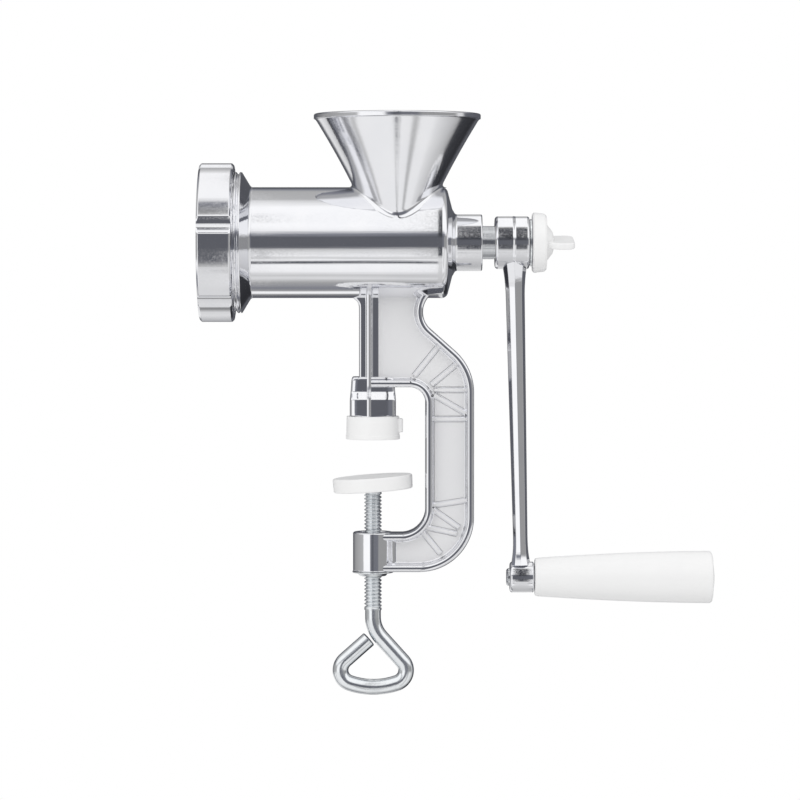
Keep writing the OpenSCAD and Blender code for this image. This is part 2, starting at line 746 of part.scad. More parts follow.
// The shaft: round in the worm and the bush, squared at its end for the crank
module auger_shaft() {
    round_l = hub_x - thrust_x + shaft_seat_l;
    end_l = round_l + hub_l - 3 * seat_gap;
    color(steel) on_axis(thrust_x - shaft_seat_l) difference() {
        union() {
            translate([0, 0, push_gap]) cylinder(h = round_l - push_gap, d = shaft_d);
            intersection() {
                square_bar(square_w, round_l - overrun, end_l - round_l + overrun);
                cylinder(h = end_l, d = shaft_d);
            }
        }
        translate([0, 0, end_l - stud_reach - 3 * seat_gap])
            cylinder(h = stud_reach + overrun, d = stud_d + 2 * seat_gap);
    }
}

module thrust_washer() {
    color(nylon) on_axis(thrust_x) difference() {
        cylinder(h = thrust_t, d = thrust_d);
        translate([0, 0, -overrun]) cylinder(h = thrust_t + 2 * overrun, d = shaft_d + 2 * push_gap);
    }
}

// The crank: hub, tapering arm and eye. The arm's sections are ovals that swell into both ends.
arm_sides = 28;
arm_swell = 0.35;
// Share of the way along the arm, and how far the section has swelled there
arm_share_rows = [[0.045, 1], [0.07, 0.55], [0.09, 0.28], [0.115, 0.09], [0.15, 0], [0.3, 0],
    [0.5, 0], [0.7, 0], [0.86, 0], [0.91, 0.12], [0.94, 0.45], [0.96, 1]];

function arm_ring(share, swell) = let (
        grow = 1 + arm_swell * swell,
        rx = (arm_hub_w + (arm_end_w - arm_hub_w) * share) / 2 * grow,
        ry = (arm_hub_t + (arm_end_t - arm_hub_t) * share) / 2 * grow,
        x = hub_x + hub_l / 2 + crank_lean * share + arm_shift * (1 - share))
    [for (i = [0:arm_sides - 1]) let (a = 360 * i / arm_sides)
        [x + rx * sign(cos(a)) * pow(abs(cos(a)), 0.8), ry * sign(sin(a)) * pow(abs(sin(a)), 0.8),
            axis_height - crank_l * share]];

module rounded_roller(length, d, r) {
    rotate_extrude() polygon(concat([[0, 0]], arc(d / 2 - r, r, r, -90, 0, corner_steps),
        arc(d / 2 - r, length - r, r, 0, 90, corner_steps), [[0, length]]));
}

module crank_arm() {
    rows = len(arm_share_rows) - 1;
    color(aluminium) difference() {
        union() {
            on_axis(hub_x) rounded_roller(hub_l, hub_d, hub_round);
            on_axis(eye_x - eye_l / 2, grip_height) rounded_roller(eye_l, eye_d, hub_round);
            skin([for (i = [rows:-1:0]) arm_ring(arm_share_rows[i][0], arm_share_rows[i][1])]);
        }
        on_axis(hub_x) square_bar(square_w + 2 * push_gap, -overrun, hub_l + 2 * overrun);
        on_axis(eye_x - eye_l / 2 - overrun, grip_height)
            cylinder(h = eye_l + 2 * overrun, d = pin_d + 2 * push_gap);
    }
}

// The grip's pin is riveted over at the eye and holds the grip by a head and a washer
recess_x = grip_end_x - grip_dome - grip_recess_l;
grip_washer_t = pin_head_h * 0.6;
pin_head_x = recess_x + grip_washer_t + 2 * seat_gap;

module grip_pin() {
    rivet_x = eye_x - eye_l / 2 - rivet_h;
    color(steel) {
        on_axis(rivet_x, grip_height) rotate_extrude() polygon([[0, 0], [rivet_d / 2 - rivet_h / 2, 0],
            [rivet_d / 2, rivet_h / 2], [rivet_d / 2, rivet_h], [0, rivet_h]]);
        on_axis(rivet_x + rivet_h, grip_height) cylinder(h = pin_head_x - rivet_x - rivet_h, d = pin_d);
        on_axis(pin_head_x, grip_height) cylinder(h = pin_head_h, d = pin_head_d);
    }
}

module grip_washer() {
    color(steel) on_axis(recess_x + seat_gap, grip_height) difference() {
        cylinder(h = grip_washer_t, d = (pin_head_d + grip_recess_d) / 2);
        translate([0, 0, -overrun]) cylinder(h = grip_washer_t + 2 * overrun, d = pin_d + 2 * push_gap);
    }
}

// The grip swells quickly at first and then slowly towards its far end
grip_steps = 12;
function grip_r(share) = (grip_near_d + (grip_far_d - grip_near_d) * (1 - pow(1 - share, 1.8))) / 2;
grip_body_l = grip_l - grip_dome;
grip_round = grip_far_d / 14;

module handle_grip() {
    start = grip_near_d / 20;
    flank = [for (i = [0:grip_steps]) let (h = start + (grip_body_l - grip_round - start) * i / grip_steps)
        [grip_r(h / grip_body_l), h]];
    far_r = grip_r((grip_body_l - grip_round) / grip_body_l);
    color(white_plastic) on_axis(grip_x, grip_height) difference() {
        rotate_extrude() polygon(concat([[0, 0], [grip_near_d / 2 - start, 0]], flank,
            arc(far_r - grip_round, grip_body_l - grip_round, grip_round, 0, 90, corner_steps, 1),
            [[0, grip_body_l]]));
        translate([0, 0, -overrun]) cylinder(h = grip_body_l, d = pin_d + 2 * run_gap);
        translate([0, 0, recess_x - grip_x]) cylinder(h = grip_recess_l + overrun, d = grip_recess_d);
        translate([0, 0, grip_body_l - grip_cap_t])
            cylinder(h = grip_cap_t + overrun, d = grip_cap_d + 2 * push_gap);
    }
}

grip_cap_d = (grip_recess_d + grip_far_d - 2 * grip_round) / 2;

// The cap closes the grip's far end with a shallow dome
module grip_cap() {
    r = grip_cap_d / 2;
    dome_r = (r * r + grip_dome * grip_dome) / (2 * grip_dome);
    color(white_plastic) on_axis(grip_x + grip_body_l - grip_cap_t + push_gap, grip_height)
        rotate_extrude() polygon(concat([[0, 0], [r, 0]],
            arc(0, grip_cap_t - push_gap + grip_dome - dome_r, dome_r, acos(r / dome_r), 90, corner_steps)));
}

module knob_washer() {
    color(zinc_plate) on_axis(knob_washer_x) difference() {
        cylinder(h = knob_washer_t, d = knob_washer_d);
        translate([0, 0, -overrun]) cylinder(h = knob_washer_t + 2 * overrun, d = stud_d + 2 * run_gap);
    }
}

// The wing knob: a flange with a dome and one flat wing
knob_hole_l = knob_t * 0.9;

module wing_knob() {
    draft = knob_t / 10;
    corner = wing_w / 4;
    color(white_plastic) on_axis(knob_x) difference() {
        union() {
            rotate_extrude() polygon([[0, 0], [knob_d / 2 - draft, 0], [knob_d / 2, draft],
                [knob_d / 2 - draft, knob_t - 2 * draft], [knob_d / 2 - 2 * draft, knob_t],
                [knob_dome_d / 2, knob_t], [knob_dome_d / 4, knob_t + knob_dome_h],
                [0, knob_t + knob_dome_h]]);
            rotate(wing_turn) rotate([90, 0, 90]) linear_extrude(wing_t, center = true) union() {
                translate([-wing_w / 2 + corner / 2, knob_t / 2])
                    square([wing_w - corner, knob_t / 2 + wing_l - corner]);
                translate([corner - wing_w / 2, knob_t / 2])
                    square([wing_w - 2 * corner, knob_t / 2 + wing_l]);
                for (side = [-1, 1]) translate([side * (wing_w / 2 - corner), knob_t + wing_l - corner])
                    circle(corner);
            }
        }
        translate([0, 0, -overrun]) cylinder(h = knob_hole_l + overrun, d = stud_d + 2 * push_gap);
    }
}

module knob_stud() {
    start = hub_end_x - 3 * seat_gap - stud_reach;
    color(zinc_plate) on_axis(start) cylinder(h = knob_x + knob_hole_l - push_gap - start, d = stud_d);
}

// The finger loop: out to one side, round the far corner, along the bowed base and back.
// Each step is a straight run, a bend by an angle at a radius, and the bend's number of parts.
loop_out_angle = 42;
loop_back_angle = 48.5;
base_half_angle = 19;
bend_r = rod_d * 1.94;
corner_r = rod_d * 0.862;
base_r = rod_d * 4.6;
rod_sides = 24;
loop_steps = [[rod_run, loop_out_angle, bend_r, 5],
    [rod_d * 2.06, base_half_angle - loop_out_angle - 90, corner_r, 10],
    [0, -2 * base_half_angle, base_r, 7],
    [0, base_half_angle - loop_back_angle - 90, corner_r, 10],
    [rod_d * 1.99, 0, rod_d, 1]];

// A station is a place and a heading: x, distance from the start, angle
function ahead(at, run) = [at[0] + run * sin(at[2]), at[1] + run * cos(at[2]), at[2]];
function bent(at, turn, r) = let (side = turn < 0 ? -1 : 1, end = at[2] + turn)
    [at[0] + side * r * (cos(at[2]) - cos(end)), at[1] + side * r * (sin(end) - sin(at[2])), end];
function stations(at, i = 0) = i == len(loop_steps) ? [] :
    let (run = loop_steps[i][0], turn = loop_steps[i][1], parts = loop_steps[i][3], start = ahead(at, run))
    concat(run > 0 ? [start] : [], turn == 0 ? [] :
        [for (k = [1:parts]) bent(start, turn * k / parts, loop_steps[i][2])],
        stations(bent(start, turn, loop_steps[i][2]), i + 1));

module rod_loop() {
    path = concat([[0, 0, 0]], stations([0, 0, 0]));
    skin([for (at = path) [for (i = [0:rod_sides - 1])
        let (a = 360 * i / rod_sides, across = rod_d / 2 * cos(a))
        [at[0] + across * cos(at[2]), rod_d / 2 * sin(a), at[1] - across * sin(at[2])]]]);
}

// Heights of the lower pad's pieces, from the screw's shoulder upward
pad_disc_d = lower_pad_d - 2 * pad_rim_w;
washer_z = -screw_top + seat_gap;
disc_z = washer_z + screw_washer_t + 2 * seat_gap;
pivot_z = disc_z + pad_disc_t / 2;
head_z = disc_z + pad_disc_t + 1.5 * seat_gap;
rod_z = -screw_top - thread_l;

module clamp_screw() {
    color(zinc_plate) {
        translate([0, 0, rod_z]) cylinder(h = thread_l, d = thread_d);
        translate([0, 0, -screw_top]) cylinder(h = head_z + screw_top, d = stem_d);
        translate([0, 0, head_z]) cylinder(h = stem_head_h, d = stem_head_d);
        translate([0, 0, rod_z + push_gap]) rotate([180, 0, 0]) rod_loop();
    }
}

module screw_washer() {
    color(steel) translate([0, 0, washer_z]) rotate_extrude() polygon([
        [stem_d / 2 + run_gap, 0], [screw_washer_d / 2, 0], [screw_washer_d / 2, screw_washer_t / 2],
        [stem_d / 2 + run_gap, screw_washer_t]]);
}

// Everything on the loose rivet leans to one side about the middle of the steel disc
module on_rivet() {
    translate([0, 0, pivot_z]) rotate([0, -pad_lean, 0]) translate([0, 0, -pad_disc_t / 2]) children();
}

module pad_disc() {
    color(steel) on_rivet() difference() {
        cylinder(h = pad_disc_t, d = pad_disc_d);
        translate([0, 0, -overrun]) cylinder(h = pad_disc_t + 2 * overrun, d = stem_d + 3 * seat_gap);
    }
}

module lower_pad() {
    lip_w = pad_rim_w + pad_lip_h;
    head_room = stem_head_h + 4 * seat_gap;
    edge = pad_lip_h / 2;
    color(white_plastic) on_rivet() difference() {
        translate([0, 0, -pad_lip_h]) rounded_roller(lower_pad_t, lower_pad_d, edge);
        translate([0, 0, -pad_lip_h - overrun])
            cylinder(h = pad_lip_h + 2 * overrun, d = lower_pad_d - 2 * lip_w);
        translate([0, 0, -push_gap]) cylinder(h = pad_disc_t + 2 * push_gap, d = pad_disc_d + 2 * push_gap);
        translate([0, 0, pad_disc_t]) cylinder(h = head_room, d = stem_head_d + 12 * seat_gap);
    }
}

body_casting();
shaft_bush();
plate_key();
thread_insert();
upper_pad();
ring_nut();
grinding_plate();
cutting_knife();
knife_stud();
auger();
auger_shaft();
thrust_washer();
crank_arm();
grip_pin();
grip_washer();
handle_grip();
grip_cap();
knob_washer();
wing_knob();
knob_stud();
clamp_screw();
screw_washer();
pad_disc();
lower_pad();
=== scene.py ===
import math

import bmesh
import bpy
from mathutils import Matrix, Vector


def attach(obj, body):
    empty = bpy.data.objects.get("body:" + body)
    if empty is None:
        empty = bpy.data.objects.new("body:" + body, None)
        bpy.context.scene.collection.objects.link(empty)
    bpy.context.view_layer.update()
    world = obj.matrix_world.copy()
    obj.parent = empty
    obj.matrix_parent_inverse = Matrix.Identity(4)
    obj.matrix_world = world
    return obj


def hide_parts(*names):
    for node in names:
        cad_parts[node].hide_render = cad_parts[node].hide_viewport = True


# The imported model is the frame. Lengths below are millimetres in that frame, and piece()
# turns them into metres.
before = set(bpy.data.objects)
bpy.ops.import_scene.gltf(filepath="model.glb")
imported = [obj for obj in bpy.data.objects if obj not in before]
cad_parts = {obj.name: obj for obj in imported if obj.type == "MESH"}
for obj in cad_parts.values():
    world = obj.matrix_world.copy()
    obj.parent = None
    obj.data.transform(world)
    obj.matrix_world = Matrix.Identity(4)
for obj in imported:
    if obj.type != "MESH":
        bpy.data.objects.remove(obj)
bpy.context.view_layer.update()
scene = bpy.context.scene

# The camera stands 1.8 m in front, level with the barrel's underside, and looks a little down.
camera = bpy.data.objects.new("camera", bpy.data.cameras.new("camera"))
scene.collection.objects.link(camera)
scene.camera = camera
MIDDLE_X, AWAY, EYE_LEVEL, LOOK_AT, SEEN_WIDTH = 0.0149, 1.8, 0.093, 0.0215, 0.44
camera.location = (MIDDLE_X, -AWAY, EYE_LEVEL)
camera.rotation_euler = (Vector((MIDDLE_X, 0, LOOK_AT)) - camera.location).to_track_quat("-Z", "Y").to_euler()
camera.data.sensor_width = 36
camera.data.lens = camera.data.sensor_width * AWAY / SEEN_WIDTH
camera.data.clip_end = 50


# Body casting, the barrel. One aluminium die casting, polished on its outside, with a
# threaded collar for the ring nut in front and a boss for the shaft's bush behind. The
# thread is cut, so it is a real helix here.


def linear(code):
    """A hex colour as the linear numbers that the shaders take."""
    parts = [int(code[i:i + 2], 16) / 255 for i in (1, 3, 5)]
    return [c / 12.92 if c <= 0.04045 else ((c + 0.055) / 1.055) ** 2.4 for c in parts] + [1]


def node(tree, kind, sockets=None, **settings):
    """Adds a node. Each socket takes a value, or another node with the name of its output."""
    made = tree.nodes.new(kind)
    for name, value in settings.items():
        setattr(made, name, value)
    for socket, source in (sockets or {}).items():
        if isinstance(source, tuple) and isinstance(source[0], bpy.types.Node):
            tree.links.new(source[0].outputs[source[1]], made.inputs[socket])
        else:
            made.inputs[socket].default_value = source
    return made


def material(name):
    """An empty material, and the place on the piece for its noises."""
    made = bpy.data.materials.new(name)
    made.use_nodes = True
    return made, node(made.node_tree, "ShaderNodeTexCoord")


def noise(at, size, detail=2.0, along=None):
    """Noise with patches so many millimetres wide, drawn out to another length along X."""
    tree, scale = at.id_data, 1000 / size
    spot = (at, "Object" if "Object" in at.outputs else "Vector")
    if along:
        drawn = node(tree, "ShaderNodeVectorMath", {0: spot, 1: (1000 / along, scale, scale)}, operation="MULTIPLY")
        spot, scale = (drawn, "Vector"), 1.0
    return node(tree, "ShaderNodeTexNoise", {"Vector": spot, "Scale": scale, "Detail": detail})


def mixed(tree, share, one, other):
    """A colour that goes from one to the other with a share."""
    return node(tree, "ShaderNodeMix", {"Factor": share, 6: one, 7: other}, data_type="RGBA")


def fading(tree, value, low, high, least=0.0, most=1.0):
    """A number that goes from least to most while a value goes from low to high."""
    return node(tree, "ShaderNodeMapRange", {"Value": value, "From Min": low, "From Max": high,
                                             "To Min": least, "To Max": most})


def finish(made, tone, gloss, bumps=(), metallic=0.0, span=(0.0, 1.0)):
    """Finishes a material. Its tone is a noise and two colours, its gloss is a roughness, or a
    noise, of which the span counts, and two of them. A bump is a noise, its strength and its
    height in millimetres, and lies on the bump before it."""
    tree = made.node_tree
    shader = tree.nodes["Principled BSDF"]
    share, one, other = tone
    tree.links.new(mixed(tree, (share, "Fac"), linear(one), linear(other)).outputs[2], shader.inputs["Base Color"])
    if isinstance(gloss, float):
        shader.inputs["Roughness"].default_value = gloss
    else:
        share, least, most = gloss
        rough = fading(tree, (share, "Fac"), *span, least, most)
        tree.links.new(rough.outputs["Result"], shader.inputs["Roughness"])
    below = {}
    for relief, strength, high in bumps:
        bump = node(tree, "ShaderNodeBump", {"Height": (relief, "Fac"), "Strength": strength,
                                             "Distance": high / 1000, **below})
        below = {"Normal": (bump, "Normal")}
    if below:
        tree.links.new(bump.outputs["Normal"], shader.inputs["Normal"])
    shader.inputs["Metallic"].default_value = metallic


# Polished cast aluminium: a near mirror, a little cloudy. Slow waves left from the casting
# bend what it mirrors, and the belt's strokes along the barrel break its edges. Real strokes
# are about 0.1 mm wide, and are drawn far coarser to show at all.
CLOUD_SIZE, GRIT_SIZE = 16.7, 1.11
WAVE_LONG, WAVE_WIDE, STROKE_LONG, STROKE_WIDE = 167, 16.7, 71, 1.61
polished, place = material("polished_aluminium")
waves = noise(place, WAVE_WIDE, 1.0, along=WAVE_LONG)
strokes = noise(place, STROKE_WIDE, 3.0, along=STROKE_LONG)
finish(polished, (noise(place, CLOUD_SIZE), "#f3f3f5", "#e9eaee"), (noise(place, GRIT_SIZE, 4.0), 0.04, 0.09),
       [(waves, 0.3, 0.8), (strokes, 0.12, 0.2)], metallic=1.0, span=(0.35, 0.75))


def piece(name, body, slot, material, points, faces, replaces=None, crease=32):
    """Makes a piece from points in millimetres, smooth up to a crease angle in degrees."""
    mesh = bpy.data.meshes.new(name)
    mesh.from_pydata([(x / 1000, y / 1000, z / 1000) for x, y, z in points], [], faces)
    work = bmesh.new()
    work.from_mesh(mesh)
    bmesh.ops.recalc_face_normals(work, faces=work.faces)
    work.to_mesh(mesh)
    work.free()
    mesh.shade_smooth()
    mesh.set_sharp_from_angle(angle=math.radians(crease))
    made = bpy.data.objects.new(name, mesh)
    scene.collection.objects.link(made)
    mesh.materials.append(material)
    even = made.modifiers.new("even", "WEIGHTED_NORMAL")
    even.keep_sharp, even.weight = True, 90
    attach(made, body)
    if replaces:
        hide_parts(replaces)
    return made


def rounded(corners, parts=6, closed=False):
    """Points of an outline whose corners (x, y, radius) are rounded."""
    out = []
    count = len(corners)
    for i, (x, y, r) in enumerate(corners):
        if not r or (not closed and i in (0, count - 1)):
            out.append((x, y))
            continue
        ax, ay = corners[i - 1][:2]
        bx, by = corners[(i + 1) % count][:2]
        la, lb = math.hypot(ax - x, ay - y), math.hypot(bx - x, by - y)
        ua, ub = ((ax - x) / la, (ay - y) / la), ((bx - x) / lb, (by - y) / lb)
        half = math.acos(max(-1, min(1, ua[0] * ub[0] + ua[1] * ub[1]))) / 2
        if half > 1.56:
            out.append((x, y))
            continue
        reach = min(r / math.tan(half), la * 0.49, lb * 0.49)
        r = reach * math.tan(half)
        mx, my = ua[0] + ub[0], ua[1] + ub[1]
        lm = math.hypot(mx, my)
        cx, cy = x + mx / lm * r / math.sin(half), y + my / lm * r / math.sin(half)
        start = math.atan2(y + ua[1] * reach - cy, x + ua[0] * reach - cx)
        sweep = math.atan2(y + ub[1] * reach - cy, x + ub[0] * reach - cx) - start
        sweep = (sweep + math.pi) % (2 * math.pi) - math.pi
        out += [(cx + r * math.cos(start + sweep * k / parts), cy + r * math.sin(start + sweep * k / parts))
                for k in range(parts + 1)]
    return out


def rings(loops, around=True, ends=True, closed=False):
    """Points and faces of a surface through loops with equally many points."""
    n, m = len(loops[0]), len(loops)
    points = [p for loop in loops for p in loop]
    faces = []
    for i in range(m if closed else m - 1):
        for j in range(n if around else n - 1):
            k, low, high = (j + 1) % n, i * n, (i + 1) % m * n
            faces.append((low + j, low + k, high + k, high + j))
    if ends and not closed:
        faces += [tuple(range(n)), tuple(range((m - 1) * n, m * n))]
    return points, faces


def turned(profile, z=0.0, sides=192, ends=True, closed=False, swell=None):
    """A profile (x, r) turned about a line along X at height z. swell(x, turn) adds to r."""
    loops = []
    for x, r in profile:
        loop = []
        for j in range(sides):
            turn = 2 * math.pi * j / sides
            out = r + (swell(x, turn) if swell else 0)
            loop.append((x, -out * math.sin(turn), z + out * math.cos(turn)))
        loops.append(loop)
    return rings(loops, ends=ends, closed=closed)


AXIS = 108.0
BARREL_R, BORE_R, COLLAR_R, COLLAR_EDGE = 30.4, 26.0, 38.65, 0.5
MOUTH_X, COLLAR_END, BARREL_FRONT, BARREL_REAR = -89.5, -71.8, -66.8, 40.7
SEAT_X, SEAT_R, SEAT_EDGE_R, CHAMBER_R, CHAMBER_END = -83.2, 35.3, 36.0, 33.4, -74.6
REAR_WALL, BEARING_R, BEARING_END, BUSH_HOLE_R = 35.2, 15.5, 60.0, 11.6
THREAD_PITCH, THREAD_DEEP, THREAD_ROW = 2.5, 1.1, 0.22
STRAIGHT_FROM, STRAIGHT_STEP, STRAIGHT_ROWS = -60.0, 4.0, 23


def collar_thread(x, a):
    """How far the groove goes in at this place. It fades out at both ends of the collar."""
    if not MOUTH_X + COLLAR_EDGE < x < COLLAR_END:
        return 0.0
    turn = (x / THREAD_PITCH - a / (2 * math.pi)) % 1
    cut = max(0.0, min(1.0, 2.2 * abs(2 * turn - 1) - 0.5))
    fade = min(1.0, (x - MOUTH_X - COLLAR_EDGE) / 1.5, (COLLAR_END - 0.4 - x) / 0.8)
    return -THREAD_DEEP * (1 - cut) * max(0.0, fade)


threaded = COLLAR_END - MOUTH_X - 2 * COLLAR_EDGE
rows = int(threaded / THREAD_ROW)
outside = rounded([(MOUTH_X, SEAT_EDGE_R, 0), (MOUTH_X, COLLAR_R - 0.4, 0), (MOUTH_X + COLLAR_EDGE, COLLAR_R, 0)])[:-1]
outside += [(MOUTH_X + COLLAR_EDGE + threaded * i / rows, COLLAR_R) for i in range(rows + 1)]
outside += rounded([(COLLAR_END - COLLAR_EDGE, COLLAR_R, 0), (COLLAR_END, COLLAR_R, 0.5), (BARREL_FRONT, BARREL_R, 2.0),
                    (STRAIGHT_FROM, BARREL_R, 0)], 8)[1:]
outside += [(STRAIGHT_FROM + STRAIGHT_STEP * i, BARREL_R) for i in range(1, STRAIGHT_ROWS + 1)]
outside += rounded([(35.0, BARREL_R, 0), (BARREL_REAR - 0.2, BARREL_R, 5.4), (43.6, 18.4, 1.4), (45.3, BEARING_R, 1.6),
                    (BEARING_END, BEARING_R, 0.8), (BEARING_END, BUSH_HOLE_R, 0.3), (REAR_WALL, BUSH_HOLE_R, 0)], 8)
inside = rounded([(REAR_WALL, BUSH_HOLE_R, 0), (REAR_WALL, BORE_R, 1.0), (-67.6, BORE_R, 3.0),
                  (CHAMBER_END, CHAMBER_R, 0.6), (SEAT_X, CHAMBER_R, 0), (SEAT_X, SEAT_R, 0), (MOUTH_X, SEAT_R, 0.3),
                  (MOUTH_X, SEAT_EDGE_R, 0)], 5)[1:-1]
points, faces = turned(outside + inside, AXIS, 224, closed=True, swell=collar_thread)
barrel = piece("body_barrel", "frame_body", "cast_aluminium", polished, points, faces, "body_casting")

# Body casting, the hopper, cast in one with the barrel. It is drawn from a round rim down to
# an oval at the barrel, is open into the bore, and meets the barrel in a small cast fillet.
HOPPER_X, RIM_R, RIM_Z, ROOT_Z, CONE_Z, HOLLOWED = 13.4, 45.8, 178.5, 118.0, 175.5, 0.18
ROOT_RX, ROOT_RY, CONE_R, WALL = 14.6, 25.2, 44.9, 2.4
LIP_OUT, LIP_IN, SUNK_IN, SIDES = 1.2, 1.4, 0.9, 192


def hopper_point(a, z, inset):
    """A point of the hopper's wall at a turn and a height, or of a wall further in."""
    t = (z - ROOT_Z) / (CONE_Z - ROOT_Z)
    t -= HOLLOWED * t * (1 - t)
    rx, ry = ROOT_RX + (CONE_R - ROOT_RX) * t - inset, ROOT_RY + (CONE_R - ROOT_RY) * t - inset
    return (HOPPER_X + rx * math.cos(a), ry * math.sin(a), z)


def hopper_meets(a, r, inset):
    """The height at which that wall goes into a cylinder of this radius about the barrel's axis."""
    low, high = ROOT_Z - 6, CONE_Z
    for _ in range(40):
        z = (low + high) / 2
        _, y, _ = hopper_point(a, z, inset)
        if y * y + (z - AXIS) ** 2 < r * r:
            low = z
        else:
            high = z
    return z


angles = [2 * math.pi * j / SIDES for j in range(SIDES)]
roots = [hopper_meets(a, BARREL_R - SUNK_IN, 0) for a in angles]
loops = [[hopper_point(a, root + (CONE_Z - LIP_OUT - root) * k / 20, 0) for a, root in zip(angles, roots)]
         for k in range(21)]
lip = rounded([(CONE_R - 0.55, CONE_Z - LIP_OUT, 0), (CONE_R, CONE_Z - 0.1, 0.5), (RIM_R, CONE_Z + 0.2, 0.4),
               (RIM_R, RIM_Z, 0.9), (CONE_R - WALL + 0.05, RIM_Z, 0.9), (CONE_R - WALL + 0.05, CONE_Z, 1.5),
               (CONE_R - WALL - 0.6, CONE_Z - LIP_IN, 0)], 5)
loops += [[(HOPPER_X + r * math.cos(a), r * math.sin(a), z) for a in angles] for r, z in lip[1:-1]]
roots = [hopper_meets(a, BARREL_R, WALL) for a in angles]
loops += [[hopper_point(a, root + (CONE_Z - LIP_IN - root) * k / 12, WALL) for a, root in zip(angles, roots)]
          for k in range(12, -1, -1)]
points, faces = rings(loops, closed=True)

# Buffed aluminium: the same casting, finished with a softer wheel. What it mirrors is blurred
# into long soft streaks.
buffed = polished.copy()
buffed.name = "buffed_aluminium"
for part in buffed.node_tree.nodes:
    if part.type == "MAP_RANGE":
        part.inputs["To Min"].default_value, part.inputs["To Max"].default_value = 0.11, 0.17
piece("body_hopper", "frame_body", "cast_aluminium", buffed, points, faces)

# The hole from the hopper into the bore is cut through the barrel's wall
CUT_MIDDLE, CUT_TOP = 135.0, 150.0
points, faces = rings([[hopper_point(a, z, WALL) for a in angles] for z in (ROOT_Z, CUT_MIDDLE, CUT_TOP)])
cutter_mesh = bpy.data.meshes.new("hopper_cut")
cutter_mesh.from_pydata([(x / 1000, y / 1000, z / 1000) for x, y, z in points], [], faces)
cutter = bpy.data.objects.new("hopper_cut", cutter_mesh)
scene.collection.objects.link(cutter)
cut = barrel.modifiers.new("cut", "BOOLEAN")
cut.operation, cut.solver, cut.object = "DIFFERENCE", "EXACT", cutter
bpy.context.view_layer.objects.active = barrel
bpy.ops.object.modifier_apply(modifier="cut")
bpy.data.objects.remove(cutter)
barrel.data.set_sharp_from_angle(angle=math.radians(32))

# The fillet: a curved strip between the hopper's wall and the barrel
FILLET, STRIP_ROWS = 3.0, 11
strip = []
for a in angles:
    z = hopper_meets(a, BARREL_R, 0)
    corner = hopper_point(a, z, 0)
    high = hopper_point(a, z + FILLET * 0.9, 0)
    t = (z - ROOT_Z) / (CONE_Z - ROOT_Z)
    ox, oy = math.cos(a) * (ROOT_RY + (CONE_R - ROOT_RY) * t), math.sin(a) * (ROOT_RX + (CONE_R - ROOT_RX) * t)
    length = math.hypot(ox, oy)
    tilt = math.atan2(corner[1], corner[2] - AXIS) + FILLET * oy / length / BARREL_R
    foot = (corner[0] + FILLET * ox / length, BARREL_R * math.sin(tilt), AXIS + BARREL_R * math.cos(tilt))
    strip.append([tuple((1 - s) ** 2 * h + 2 * s * (1 - s) * c + s * s * f for h, c, f in zip(high, corner, foot))
                  for s in [k / (STRIP_ROWS - 1) for k in range(STRIP_ROWS)]])
points, faces = rings([[strip[j][k] for j in range(SIDES)] for k in range(STRIP_ROWS)], ends=False)
piece("body_fillet", "frame_body", "cast_aluminium", polished, points, faces, crease=80)

# Body casting, the clamp frame. A web runs between rounded rims. The rims are polished, and
# the web keeps the skin that the mould gave it, with a zigzag of low ribs.

# Cast aluminium, matt: a pale, even grey from the blasted mould, with a faint grain. The
# grain is 0.1 mm in truth and drawn coarser.
GRAIN_SIZE, PATCH_SIZE = 0.385, 22.2
matt, place = material("cast_aluminium_matt")
finish(matt, (noise(place, PATCH_SIZE), "#efeff0", "#e9e9eb"), 0.55, [(noise(place, GRAIN_SIZE, 3.0), 0.25, 0.2)],
       metallic=0.2)

THROAT_TOP, THROAT_LOW, REACH, COLUMN_W, ARM_LOW = 28.8, -51.6, 28.8, 26.7, -72.8
COLUMN_X = REACH + COLUMN_W
TOP_R, LOW_R, ELBOW_R, SHOULDER_R, SHOULDER_Z = 8.6, 13.2, 30.0, 30.0, 26.0
NECK_X, NECK_Z, NECK_R = 27.5, 70.0, 12.5
SHOULDER_X = COLUMN_X - SHOULDER_R
RUN, RISE = NECK_X + NECK_R - SHOULDER_X, NECK_Z - SHOULDER_Z
BEND = math.degrees(math.atan2(RISE, RUN) - math.acos((SHOULDER_R + NECK_R) / math.hypot(RUN, RISE)))


def arc(x, z, r, start, end, parts):
    """Points of an arc between two angles in degrees."""
    return [(x + r * math.cos(math.radians(start + (end - start) * i / parts)),
             z + r * math.sin(math.radians(start + (end - start) * i / parts))) for i in range(parts + 1)]


def frame_outline(inset, left, end, top):
    """The C's outline moved inward, from the leg round the throat and back up the outside."""
    stop = 180 - math.degrees(math.asin((top - NECK_Z) / (NECK_R + inset)))
    return ([(left, top), (left, THROAT_TOP + inset)]
            + arc(REACH - TOP_R, THROAT_TOP - TOP_R, TOP_R + inset, 90, 0, 20)
            + arc(REACH - LOW_R, THROAT_LOW + LOW_R, LOW_R + inset, 0, -90, 24)
            + [(end, THROAT_LOW - inset), (end, ARM_LOW + inset)]
            + arc(COLUMN_X - ELBOW_R, ARM_LOW + ELBOW_R, ELBOW_R - inset, -90, 0, 40)
            + arc(SHOULDER_X, SHOULDER_Z, SHOULDER_R - inset, 0, BEND, 20)
            + arc(NECK_X + NECK_R, NECK_Z, NECK_R + inset, BEND + 180, stop, 24))


